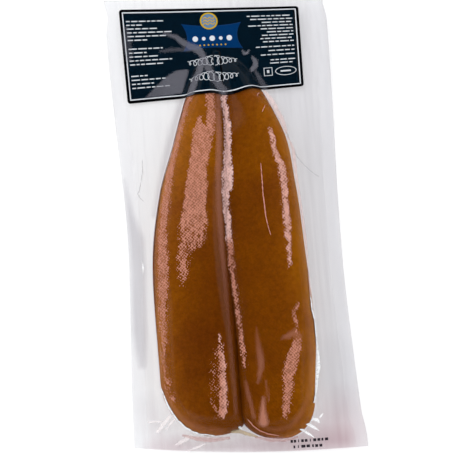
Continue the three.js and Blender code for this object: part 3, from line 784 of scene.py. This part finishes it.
# The last number is the share of a mark that the lower web has too.
for name, values, below in (
    ("weld", weld, 1), ("on_roe", on_roe, 1), ("loose", loose, 0),
    ("painted_highlight_cover", painted_highlight_cover, 0), ("painted_highlight_strength", painted_highlight_strength, 0), ("painted_sheen", painted_sheen_on(film_x, film_y), 0),
    ("painted_shade", painted_shade_on(film_x, film_y), 1),
):
    mark(film, name, np.concatenate([values, values * below]))
film.data.materials.append(film_material())
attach(film, "root")
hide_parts("sealed_bag")
for piece in lobe_pieces:
    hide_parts("sealed_bag")

# Painted light on the film's folds. Strips beside the roe and across it, down the film's free edge on the
# right side and along the roe's left outline carry painted highlights, painted shadow, painted reflection of
# the roe's colour and painted shade. Each strip lies on the film and is given as rows of x, y and half width.
CREASE_LIFT = 0.12
LAYER_THICKNESS = 0.02
ACROSS_CREASE = np.array([0, 0.94, 1, 0.94, 0])
# Painted highlights: glints where folds catch the light, white, pale, skin pink and soft.
PAINTED_WHITE_GLINTS = (
    (
        (37.0, -47.3, 0.4), (37.4, -54.5, 0.7), (38.4, -59.9, 0.7), (38.4, -67.7, 0.6), (38.7, -74.5, 0.7),
        (38.9, -77.6, 0.9), (38.5, -82.8, 1.4), (37.2, -88.6, 0.9), (36.4, -93.8, 0.8), (35.1, -99.3, 0.6),
        (34.0, -102.6, 0.4),
    ),
    ((36.4, -109.9, 0.2), (37.4, -108.9, 0.7), (38.6, -107.6, 0.2)),
    ((31.7, -111.3, 0.2), (33.4, -110.1, 1.0), (35.1, -110.6, 1.4), (36.5, -112.4, 0.3)),
    ((28.8, -113.2, 0.3), (31.0, -113.1, 1.1), (33.3, -114.5, 1.1), (35.9, -116.3, 0.2)),
    ((25.6, -115.5, 0.3), (27.9, -116.0, 0.9), (30.4, -117.6, 0.9), (33.1, -119.6, 0.2)),
    (
        (-44.3, -88.3, 0.2), (-42.8, -93.3, 0.4), (-41.5, -97.5, 0.6), (-39.5, -101.7, 0.6),
        (-36.8, -105.9, 0.5), (-33.0, -109.8, 0.5), (-29.5, -112.0, 0.4), (-25.5, -113.7, 0.4),
        (-18.3, -114.9, 0.2),
    ),
    ((-49.4, -19.8, 0.3), (-49.4, -23.1, 0.5), (-49.6, -25.7, 0.2)),
    ((-5.9, -111.9, 0.3), (-4.8, -112.0, 0.9), (-3.8, -112.6, 0.3)),
)
PAINTED_SOFT_GLINTS = (
    ((-39.6, -101.6, 0.5), (-42.5, -104.5, 1.5), (-45.4, -107.3, 1.7), (-48.4, -110.6, 0.7)),
    ((-37.6, -104.0, 0.4), (-40.5, -106.1, 1.0), (-43.4, -109.4, 0.5)),
    ((-52.6, -104.8, 0.4), (-48.9, -104.8, 0.7), (-44.7, -105.0, 0.4)),
    ((-29.4, -113.2, 0.5), (-32.9, -114.8, 1.7), (-36.2, -116.3, 1.6), (-39.6, -117.7, 0.5)),
    ((-23.6, -118.2, 0.4), (-28.0, -119.6, 0.9), (-33.0, -121.0, 0.5)),
)
PAINTED_PALE_GLINTS = (
    (
        (32.9, 42.5, 0.3), (34.5, 38.4, 0.9), (35.7, 34.5, 1.3), (35.6, 27.1, 1.4), (35.9, 21.0, 1.1),
        (36.6, 8.2, 1.0), (37.3, -3.9, 1.0), (37.7, -15.9, 1.0), (37.7, -28.9, 0.6), (37.2, -38.5, 0.5),
        (37.0, -47.3, 0.4),
    ),
    (
        (22.8, 69.3, 0.8), (25.1, 64.9, 2.4), (27.3, 60.1, 2.9), (28.9, 55.9, 2.6), (30.6, 51.8, 2.3),
        (32.1, 47.1, 1.8), (33.0, 43.6, 0.7),
    ),
)
PAINTED_SKIN_GLINTS = (
    (
        (17.1, 25.9, 0.2), (17.1, 20.9, 0.4), (16.9, 8.2, 0.4), (17.3, -3.9, 0.4), (18.1, -9.5, 0.3),
        (19.0, -14.0, 0.2),
    ),
    ((18.6, 63.6, 0.2), (19.0, 65.3, 0.4), (19.9, 66.4, 0.3), (20.2, 65.9, 0.2)),
    ((22.5, 58.3, 0.2), (20.3, 54.3, 0.3)),
    ((-1.0, -108.3, 0.3), (1.6, -112.0, 0.3), (5.0, -114.7, 0.3), (9.0, -116.5, 0.3), (14.6, -117.9, 0.3)),
)
# Painted shadow below the blunt ends, tinted pink by the roe.
PAINTED_PINK_SHADOWS = (
    (
        (-35.3, -113.0, 0.7), (-27.7, -115.4, 1.5), (-23.6, -116.2, 1.7), (-18.4, -116.7, 1.5),
        (-10.6, -116.3, 0.9),
    ),
    ((2.3, -117.0, 0.7), (10.0, -119.0, 1.4), (17.7, -119.7, 1.4), (24.6, -118.8, 0.7)),
)
# Painted reflection of the roe's amber colour in the notch between the blunt ends.
PAINTED_AMBER_REFLECTIONS = (
    ((-9.9, -113.7, 0.6), (-5.2, -113.5, 1.4), (-0.2, -115.5, 1.2), (3.9, -117.1, 0.4)),
)
# Painted shade in grey creases on the margins.
SHADED_CREASES = (
    (
        (-45.7, 36.1, 0.2), (-46.0, 29.4, 0.4), (-47.3, 23.5, 0.4), (-48.5, 19.2, 0.4), (-49.5, 17.7, 0.3),
        (-48.4, 15.3, 0.3), (-46.6, 13.1, 0.2),
    ),
    (
        (27.7, 62.6, 0.3), (30.8, 54.2, 0.4), (33.1, 44.2, 0.4), (35.1, 36.2, 0.4), (37.5, 30.2, 0.3),
        (41.2, 25.5, 0.3), (45.2, 21.5, 0.3), (48.1, 19.5, 0.2),
    ),
)
# A painted shade line down the left lobe's outline.
OUTLINE_FROM, OUTLINE_TO, OUTLINE_INSET, OUTLINE_HALF = 72, -88, 0.4, 0.38
outline_y = np.linspace(OUTLINE_FROM, OUTLINE_TO, 22)
outline_x = lobe_edges(LEFT_LOBE, outline_y)[0] + OUTLINE_INSET
outline_half = 0.06 + OUTLINE_HALF * smooth(outline_y, OUTLINE_TO, 0)
painted_shade_outline = list(zip(outline_x, outline_y, outline_half))


def crease(rows):
    """A crease's grid: it follows its rows, with six steps from one to the next and five points across."""
    along = np.linspace(0, len(rows) - 1, 6 * len(rows) - 5)
    x, y, half = (np.interp(along, np.arange(len(rows)), column) for column in zip(*rows))
    along_x, along_y = np.gradient(x), np.gradient(y)
    across = np.linspace(1, -1, len(ACROSS_CREASE))[:, None] * half / np.hypot(along_x, along_y)
    return x + across * along_y, y - across * along_x


def painted_crease_material(name, red, green, blue, strength, fray):
    """A strip of painted highlight, shadow or reflection in one colour: full in its middle, clear at its
    edges, and frayed by a noise.
    """
    material, tree = new_material(name)
    crackle = clouded(tree, place_on(tree), 560, 2)
    frayed = calculated(tree, "MULTIPLY_ADD", crackle, fray, marked(tree, "middle"))
    share = mapped(tree, frayed, 0.3 + fray / 2, 1 + fray / 2, 0, strength)
    clear = add_node(tree, "ShaderNodeBsdfTransparent").outputs[0]
    pale = add_node(tree, "ShaderNodeBsdfDiffuse", {"Color": colour(red, green, blue)}).outputs[0]
    add_node(tree, "ShaderNodeOutputMaterial", {"Surface": mixed_shaders(tree, share, clear, pale)})
    return material


def thin_layer(name, patches, z, material):
    """Patches at the height z as one thin closed piece. Each patch is a grid of x and a grid of y."""
    x, y = (np.concatenate([patch[axis].ravel() for patch in patches]) for axis in (0, 1))
    first = np.cumsum([0] + [patch[0].size for patch in patches])
    faces = [sheet_faces(*patch[0].shape, start) for patch, start in zip(patches, first)]
    piece = make_mesh(name, np.stack([x, y, z], axis=-1), np.concatenate(faces))
    layer = piece.modifiers.new("thickness", "SOLIDIFY")
    layer.thickness, layer.offset = LAYER_THICKNESS * MILLIMETRE, -1
    piece.data.materials.append(material)
    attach(piece, "root")
    return piece


def on_film(patches, lift):
    """Heights above the film for every point of some patches."""
    x, y = (np.concatenate([patch[axis].ravel() for patch in patches]) for axis in (0, 1))
    return film_heights(x, y)[0] + FILM_THICKNESS + lift


def make_painted_creases(name, creases, red, green, blue, strength, fray):
    """Strips of one painted colour as one thin piece, marked 0 at their edges and 1 along their middle."""
    patches = [crease(rows) for rows in creases]
    material = painted_crease_material(name, red, green, blue, strength, fray)
    piece = thin_layer(name, patches, on_film(patches, CREASE_LIFT), material)
    marks = [np.broadcast_to(ACROSS_CREASE[:, None], patch[0].shape).ravel() for patch in patches]
    mark(piece, "middle", np.concatenate(marks))


# Painted highlights, painted shadow, painted reflection and painted shade, each in its colour and share.
make_painted_creases("painted_white_glints", PAINTED_WHITE_GLINTS, 250, 250, 250, 0.85, fray=2.2)
make_painted_creases("painted_pale_glints", PAINTED_PALE_GLINTS, 236, 212, 208, 0.5, fray=0.9)
make_painted_creases("painted_skin_glints", PAINTED_SKIN_GLINTS, 214, 150, 132, 0.6, fray=1.6)
make_painted_creases("painted_soft_glints", PAINTED_SOFT_GLINTS, 248, 240, 238, 0.36, fray=1.6)
make_painted_creases("painted_pink_shadows", PAINTED_PINK_SHADOWS, 196, 150, 144, 0.32, fray=1.2)
make_painted_creases("painted_amber_reflections", PAINTED_AMBER_REFLECTIONS, 192, 172, 138, 0.6, fray=1.2)
make_painted_creases("shaded_creases", SHADED_CREASES, 150, 142, 150, 0.2, fray=0.9)
make_painted_creases("painted_shade_outline", [painted_shade_outline], 118, 60, 34, 0.7, fray=0.5)

# The label. A sheet of coated paper with rounded corners, printed dark blue inside a black edge and a
# thin white frame. It is stuck on the upper end of the bag and follows the roe's tip under it.
LABEL_CORNERS = dict(
    top_left=(-52.5, 120), top_right=(45.3, 114.3), low_left=(-51.4, 68.1), low_right=(44.6, 70),
)
LABEL_SIZE = (96.5, 49.4)
LABEL_ROUND = 1.6
LABEL_THICKNESS = 0.25
LABEL_GAP = 0.35
SAGS = ((-11, 1.4), (6, 2.6))
SAG_SPREAD = 8
THIN_INK = 0.92


def on_label(across, up):
    """x and y of places on the flat label, given in millimetres from its lower left corner: between its
    four corners as they lie on the bag, less the lower edge's sag over each lobe."""
    share_x, share_y = (across / LABEL_SIZE[0])[..., None], (up / LABEL_SIZE[1])[..., None]
    corners = {name: np.array(place) for name, place in LABEL_CORNERS.items()}
    low = mix(corners["low_left"], corners["low_right"], share_x)
    high = mix(corners["top_left"], corners["top_right"], share_x)
    plan = mix(low, high, share_y)
    x, y = plan[..., 0], plan[..., 1]
    sag = sum(depth * np.exp(-(((x - sag_x) / SAG_SPREAD) ** 2)) for sag_x, depth in SAGS)
    return x, y - sag * (1 - share_y[..., 0]) ** 2


def label_plan():
    """The label's grid on the flat label. Rows near the top and bottom edge are drawn in, so that the
    corners are quarter circles."""
    width, height = LABEL_SIZE
    corner_rows, middle_rows, columns = 8, 74, 140
    quarter = np.linspace(0, math.pi / 2, corner_rows)
    v = np.concatenate([
        LABEL_ROUND * (1 - np.cos(quarter)),
        np.linspace(LABEL_ROUND, height - LABEL_ROUND, middle_rows)[1:-1],
        height - LABEL_ROUND * np.cos(quarter),
    ])[:, None]
    inset = LABEL_ROUND * (1 - rounding(np.minimum(v, height - v), 0, LABEL_ROUND))
    across = mix(inset, width - inset, np.linspace(0, 1, columns))
    return across, np.broadcast_to(v, across.shape)


def ink_material(name, red, green, blue):
    """Printer's ink under a clear varnish: its colour is a little uneven, and its gloss is sharp."""
    material, tree = new_material(name)
    mottle = clouded(tree, place_on(tree), 900, 2)
    thin_ink = colour(red * THIN_INK, green * THIN_INK, blue * THIN_INK)
    shader = add_node(tree, "ShaderNodeBsdfPrincipled", {
        "Base Color": two_tones(tree, mottle, thin_ink, colour(red, green, blue)),
        "Roughness": 0.06, "Specular IOR Level": 0.15,
    })
    add_node(tree, "ShaderNodeOutputMaterial", {"Surface": shader.outputs["BSDF"]})
    return material


label_x, label_y = on_label(*label_plan())
label_base = film_heights(label_x, label_y)[0] + FILM_THICKNESS + LABEL_GAP
label = make_closed_sheet("paper_label", label_x, label_y, label_base + LABEL_THICKNESS, label_base)
label.data.materials.append(ink_material("black_ink", 5, 6, 9))
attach(label, "root")
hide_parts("label")

# The label's print. A dark petrol blue field inside a white frame, a blue ribbon with concave ends and a
# round seal of waves over it, two scrolls, and blocks of small print that are bars without any letters.
# Each ink is one thin layer of grids that lie on the label's face.
BAR_STEP = 1.2
FIELD_STEPS = (0.7, 0.6)
INK_LIFT = {"field": 0.03, "shape": 0.06, "line": 0.09, "over": 0.12}
FRAME_INSET, FRAME_WIDTH, FINE_LINE = 1.5, 0.6, 0.35
SMALL_PRINT_HEIGHT, WORD_GAP, WORD_LENGTHS = 0.6, 0.7, (1.6, 5.2)
SCROLL_LINE = 0.34


def bar(left, low, length, height):
    """A bar as a grid two points high, with a point at about every step of its length."""
    x = np.linspace(left, left + length, max(round(length / BAR_STEP), 1) + 1)
    return np.stack([x, x]), np.stack([np.full_like(x, low), np.full_like(x, low + height)])


def line_along(x, y, width):
    """A line of even width: the curve moved by half the width to each side, square to its direction."""
    along_x, along_y = np.gradient(x), np.gradient(y)
    half = width / 2 / np.hypot(along_x, along_y)
    aside_x, aside_y = along_y * half, -along_x * half
    return np.stack([x + aside_x, x - aside_x]), np.stack([y + aside_y, y - aside_y])


def disc(middle_x, middle_y, radius):
    """A round spot: rings of points from its middle outwards."""
    angle, ring = np.meshgrid(-np.linspace(0, 2 * math.pi, 41), np.linspace(0.02, radius, 5))
    return middle_x + ring * np.cos(angle), middle_y + ring * np.sin(angle)


def ellipse_line(middle_x, middle_y, radius_x, radius_y, width):
    """A line of even width round an ellipse."""
    angle = np.linspace(0, 2 * math.pi, 49)
    return line_along(middle_x + radius_x * np.cos(angle), middle_y + radius_y * np.sin(angle), width)


def frame_lines(left, low, right, high, width):
    """Four bars round a rectangle."""
    up = np.linspace(low, high, 40)
    return [
        bar(left, low, right - left, width), bar(left, high - width, right - left, width),
        *(line_along(np.full_like(up, x), up, width) for x in (left + width / 2, right - width / 2)),
    ]


def small_print(anchor, low, lengths, leading, chance, to_right=False):
    """Lines of words without letters: short bars of random length, with gaps between them."""
    patches = []
    for row, length in enumerate(lengths):
        at = anchor - length if to_right else anchor
        end = at + length
        while at < end - 1:
            word = min(chance.uniform(*WORD_LENGTHS), end - at)
            patches.append(bar(at, low - row * leading, word, SMALL_PRINT_HEIGHT))
            at += word + WORD_GAP
    return patches


def print_on_label(name, patches, ink, lift):
    """One ink as one thin piece."""
    placed = [on_label(*patch) for patch in patches]
    height = on_film(placed, LABEL_GAP + LABEL_THICKNESS + lift)
    piece = thin_layer(name, placed, height, ink_material(name, *ink))


def grid(left, low, right, high):
    """A rectangle filled with a fine grid."""
    step_x, step_y = FIELD_STEPS
    return tuple(np.meshgrid(np.arange(left, right, step_x), np.arange(low, high, step_y)))


def ribbon_band():
    """The blue ribbon: x from end to end, its ends and its long sides bent in as 1 - t²."""
    t, s = np.meshgrid(np.linspace(-1, 1, 48), np.linspace(-1, 1, 24))
    half_length = 16.2 - 2.6 * (1 - s**2)
    half_height = 7.6 - 1.5 * (1 - t**2)
    return 48.9 + t * half_length, 33.2 + s * half_height


def scroll(middle_x, middle_y, length, height, loops):
    """A symmetrical scroll: x runs out evenly and swings back in each loop, and the loops get smaller
    towards its ends. It is drawn once to the right and once to the left of its middle."""
    t = np.linspace(0, 1, 30 * loops)
    turn = 2 * math.pi * loops * t
    size = height / 2 * (1 - 0.75 * t)
    out, up = length / 2 * t + size * 0.9 * np.sin(turn), size * np.cos(turn)
    return [line_along(middle_x + side * out[::side], middle_y + up[::side], SCROLL_LINE) for side in (1, -1)]


width, height = LABEL_SIZE
chance = np.random.default_rng(11)
inner = FRAME_INSET + FRAME_WIDTH
field = grid(inner, inner, width - inner, height - inner)
print_on_label("field_ink", [field], (4, 19, 30), INK_LIFT["field"])
print_on_label("ribbon_ink", [ribbon_band()], (3, 46, 92), INK_LIFT["shape"])
white_print = [
    *frame_lines(FRAME_INSET, FRAME_INSET, width - FRAME_INSET, height - FRAME_INSET, FRAME_WIDTH),
    *small_print(3.3, 42.6, (20, 8.3, 17, 24, 21, 12), 2.0, chance),
    *small_print(3.3, 28.0, (18.5, 9.6, 16, 23, 18.3), 2.05, chance),
    *small_print(3.3, 13.8, (10.6, 19.5, 12, 20.5), 2.1, chance),
    *small_print(92.8, 43.6, (24.4, 22.7, 16.6, 24, 17.5, 14.2, 17, 18, 16.7), 1.95, chance, to_right=True),
    *small_print(92.8, 25.0, (20.8, 14.1, 18.5), 2.4, chance, to_right=True),
    *small_print(92.8, 17.0, (13.4, 13.8), 1.9, chance, to_right=True),
    *frame_lines(75.3, 8.0, 80, 12.9, FINE_LINE),
    ellipse_line(87.3, 10.3, 5.6, 2.5, FINE_LINE),
    bar(77, 9.6, 1.3, 1.8), bar(84.4, 9.8, 5.6, 0.9),
    *scroll(48, 19.4, 27, 6.4, 5),
    *scroll(48, 9.8, 27, 6.0, 5),
    *(disc(48.9 + step * 4.6, 32.2, 1.5 - 0.5 * (step % 2)) for step in range(-2, 3)),
]
print_on_label("white_ink", white_print, (214, 217, 222), INK_LIFT["line"])
seal_x, seal_y, seal_radius = 47.8, 42, 4.4
print_on_label("seal_ink", [disc(seal_x, seal_y, seal_radius)], (96, 126, 160), INK_LIFT["line"])
wave_x = np.linspace(-3.2, 3.2, 30)
wave_y = 0.45 * np.sin(wave_x * 2.4)
yellow_print = [
    ellipse_line(seal_x, seal_y, seal_radius, seal_radius, 0.8),
    *(line_along(seal_x + wave_x, seal_y + higher + wave_y, 0.55) for higher in (-1.6, 0, 1.6)),
    *(disc(42 + dot * 2.3, 28.6, 0.45) for dot in range(7)),
]
print_on_label("yellow_ink", yellow_print, (196, 160, 34), INK_LIFT["over"])

# The label's clear varnish, with painted glare: grey strokes are painted where its creases over the roe's tip
# and one facet on the left catch the light. Each stroke has its strength, and then rows of x, y and half
# width.
VARNISH_LIFT, VARNISH_THICKNESS = 0.16, 0.03
VARNISH_EDGE, FACET_STRENGTH = 0.9, 0.45
PAINTED_FACET_GLARE = (
    (-41.9, 70.4), (-36.5, 75.4), (-32.6, 78.8), (-28.2, 82.1), (-23.4, 84.2), (-19.0, 84.4), (-17.1, 83.7),
    (-21.6, 71.6),
)
PAINTED_LABEL_GLARE = (
    (0.5, ((-8.7, 90.1, 1.6), (-11.5, 81.4, 1.9), (-14.7, 75.5, 1.9), (-17.1, 69.3, 1.9))),
    (0.38, ((-8.2, 90.0, 1.6), (-6.5, 82.9, 1.8), (-3.5, 76.4, 2.1), (0.8, 69.2, 2.1))),
    (0.42, (
        (-28.9, 105.0, 0.4), (-22.5, 102.6, 1.1), (-18.9, 99.2, 1.6), (-15.3, 96.7, 1.8), (-11.1, 94.7, 2.1),
        (-8.7, 91.2, 1.6),
    )),
    (0.2, ((-31.8, 95.3, 0.4), (-26.3, 95.7, 1.1), (-20.9, 95.6, 0.9), (-15.5, 94.8, 0.8))),
    (0.7, ((13.0, 91.8, 0.3), (13.8, 90.3, 0.5), (15.3, 90.4, 0.5), (16.4, 91.8, 0.3))),
    (0.5, ((18.0, 88.1, 0.5), (19.5, 85.4, 1.3), (19.4, 83.2, 1.3), (17.6, 81.5, 1.2), (16.9, 80.4, 0.5))),
    (0.25, ((18.9, 80.5, 0.7), (20.5, 77.1, 1.2), (22.1, 73.6, 1.3), (23.7, 69.6, 1.2))),
    (0.14, ((-49.3, 108.7, 1.6), (-49.4, 100.5, 2.7), (-49.0, 92.3, 1.6))),
)


def facet(corners, x, y, edge):
    """How far a facet with straight sides covers each point, from the least distance to its sides.
    Its corners go round clockwise."""
    least = np.full(x.shape, np.inf)
    for (x0, y0), (x1, y1) in zip(corners, corners[1:] + corners[:1]):
        run_x, run_y = x1 - x0, y1 - y0
        least = np.minimum(least, ((x - x0) * run_y - (y - y0) * run_x) / math.hypot(run_x, run_y))
    return np.clip(0.5 + least / edge, 0, 1)


def label_glare_material():
    """Clear, with grey painted glare where it is marked."""
    material, tree = new_material("label_varnish_glare")
    mottle = clouded(tree, place_on(tree), 500, 2)
    grey = two_tones(tree, mottle, colour(122, 122, 132), colour(140, 138, 146))
    clear = add_node(tree, "ShaderNodeBsdfTransparent").outputs[0]
    pale = add_node(tree, "ShaderNodeBsdfDiffuse", {"Color": grey}).outputs[0]
    shader = mixed_shaders(tree, marked(tree, "painted_glare"), clear, pale)
    add_node(tree, "ShaderNodeOutputMaterial", {"Surface": shader})
    return material


varnish_base = label_base + LABEL_THICKNESS + VARNISH_LIFT
varnish = make_closed_sheet("label_varnish_glare", label_x, label_y, varnish_base + VARNISH_THICKNESS, varnish_base)
# Painted glare on the facet, weaker towards the left, and on the creases.
facet_glare = FACET_STRENGTH * facet(PAINTED_FACET_GLARE, label_x, label_y, VARNISH_EDGE)
facet_glare = facet_glare * mix(0.7, 1, smooth(label_x, -42, -25))
glare_strokes = [
    strength * stroke([(*row, 1) for row in rows], label_x, label_y, VARNISH_EDGE)
    for strength, rows in PAINTED_LABEL_GLARE
]
painted_glare = np.max([facet_glare, *glare_strokes], axis=0)
mark(varnish, "painted_glare", np.concatenate([painted_glare, np.zeros(painted_glare.shape)]))
varnish.data.materials.append(label_glare_material())
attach(varnish, "root")

# The date code. It is stamped on the lower weld, here as plain bars of ink without any figures. Each bar
# is given by its left end, its foot and its length.
DATE_LIFT, DATE_HEIGHT = 0.06, 1.4
DATE_BARS = (
    (20.5, -121.4, 1.3), (22.2, -121.4, 1.3), (24.5, -121.4, 0.5), (26.1, -121.4, 1.4), (28.0, -121.4, 1.4),
    (30.6, -121.4, 0.5), (32.4, -121.4, 1.6), (34.6, -121.4, 1.5), (36.7, -121.4, 1.0), (38.5, -121.4, 1.7),
    (21.9, -124.2, 0.9), (24.2, -124.2, 0.5), (26.0, -124.2, 2.1), (28.7, -124.2, 1.8), (31.6, -124.3, 0.9),
    (33.2, -124.4, 1.5), (35.4, -124.4, 1.5),
)
bars = [bar(left, low, length, DATE_HEIGHT) for left, low, length in DATE_BARS]
stamping_ink = ink_material("stamping_ink", 38, 32, 40)
date_code = thin_layer("date_code", bars, on_film(bars, DATE_LIFT), stamping_ink)

# The stage: a white table top, lit a little from below, under soft light from all round. A pale wall
# stands far away all round and shows only in gloss. The camera looks down from the blunt end's side.
FLOOR_HALF = 3000
floor_corners = np.array([[-1, -1, 0], [1, -1, 0], [1, 1, 0], [-1, 1, 0]]) * FLOOR_HALF
floor = make_mesh("floor", floor_corners, np.array([[0, 1, 2, 3]]), smooth_faces=False)
floor_paint, tree = new_material("white_table")
paint = add_node(tree, "ShaderNodeBsdfDiffuse", {"Color": (0.5, 0.5, 0.5, 1)})
lit_from_below = add_node(tree, "ShaderNodeEmission", {"Color": (1, 1, 1, 1), "Strength": 0.52})
surface = add_node(tree, "ShaderNodeAddShader", {0: paint.outputs[0], 1: lit_from_below.outputs[0]})
add_node(tree, "ShaderNodeOutputMaterial", {"Surface": surface.outputs[0]})
floor.data.materials.append(floor_paint)

WALL_AWAY, WALL_HEIGHT, WALL_PANELS = 30000, 25000, 48
turns = np.linspace(0, 2 * math.pi, WALL_PANELS, endpoint=False)
wall_foot = np.column_stack([WALL_AWAY * np.cos(turns), WALL_AWAY * np.sin(turns), np.zeros(WALL_PANELS)])
wall_points = np.concatenate([wall_foot, wall_foot + (0, 0, WALL_HEIGHT)])
wall = make_mesh("wall", wall_points, tube_faces(2, WALL_PANELS))
wall_paint, tree = new_material("pale_wall")
glow = add_node(tree, "ShaderNodeEmission", {"Color": (1, 1, 1, 1), "Strength": 0.6})
add_node(tree, "ShaderNodeOutputMaterial", {"Surface": glow.outputs[0]})
wall.data.materials.append(wall_paint)
wall.visible_camera = wall.visible_diffuse = wall.visible_transmission = wall.visible_shadow = False

key_data = bpy.data.lights.new("key", "AREA")
key_data.size, key_data.energy = 1.2, 9
key = bpy.data.objects.new("key", key_data)
key.location = (-0.4, 0.3, 1.4)
key.rotation_euler = Vector(key.location).to_track_quat("Z", "Y").to_euler()
key.visible_glossy = False
bpy.context.collection.objects.link(key)

world = bpy.data.worlds.new("studio")
world.use_nodes = True
sky = world.node_tree.nodes["Background"]
sky.inputs["Color"].default_value = (0.95, 0.97, 1, 1)
sky.inputs["Strength"].default_value = 0.95
# Setting the visibility makes Blender look up the scene's world, so the scene gets it first.
bpy.context.scene.world = world
world.cycles_visibility.glossy = False
bpy.context.scene.view_settings.view_transform = "Standard"

AIM = np.array([-2.5, -5.4, 4]) * MILLIMETRE
CAMERA_ELEVATION, CAMERA_AZIMUTH, CAMERA_DISTANCE = 78, -4.6, 0.9
PICTURE_SIDE, MILLIMETRES_A_PIXEL, SENSOR_WIDTH = 457, 0.533, 36
VIEW_WIDTH = PICTURE_SIDE * MILLIMETRES_A_PIXEL * MILLIMETRE
camera_data = bpy.data.cameras.new("camera")
camera_data.sensor_width = SENSOR_WIDTH
camera_data.lens = SENSOR_WIDTH * CAMERA_DISTANCE / VIEW_WIDTH
camera_data.clip_start, camera_data.clip_end = 0.01, 20
camera = bpy.data.objects.new("camera", camera_data)
bpy.context.collection.objects.link(camera)
rise, turn = math.radians(CAMERA_ELEVATION), math.radians(CAMERA_AZIMUTH)
back = np.array([math.sin(turn) * math.cos(rise), -math.cos(turn) * math.cos(rise), math.sin(rise)])
camera.location = AIM + back * CAMERA_DISTANCE
camera.rotation_euler = (math.pi / 2 - rise, 0, turn)
bpy.context.scene.camera = camera
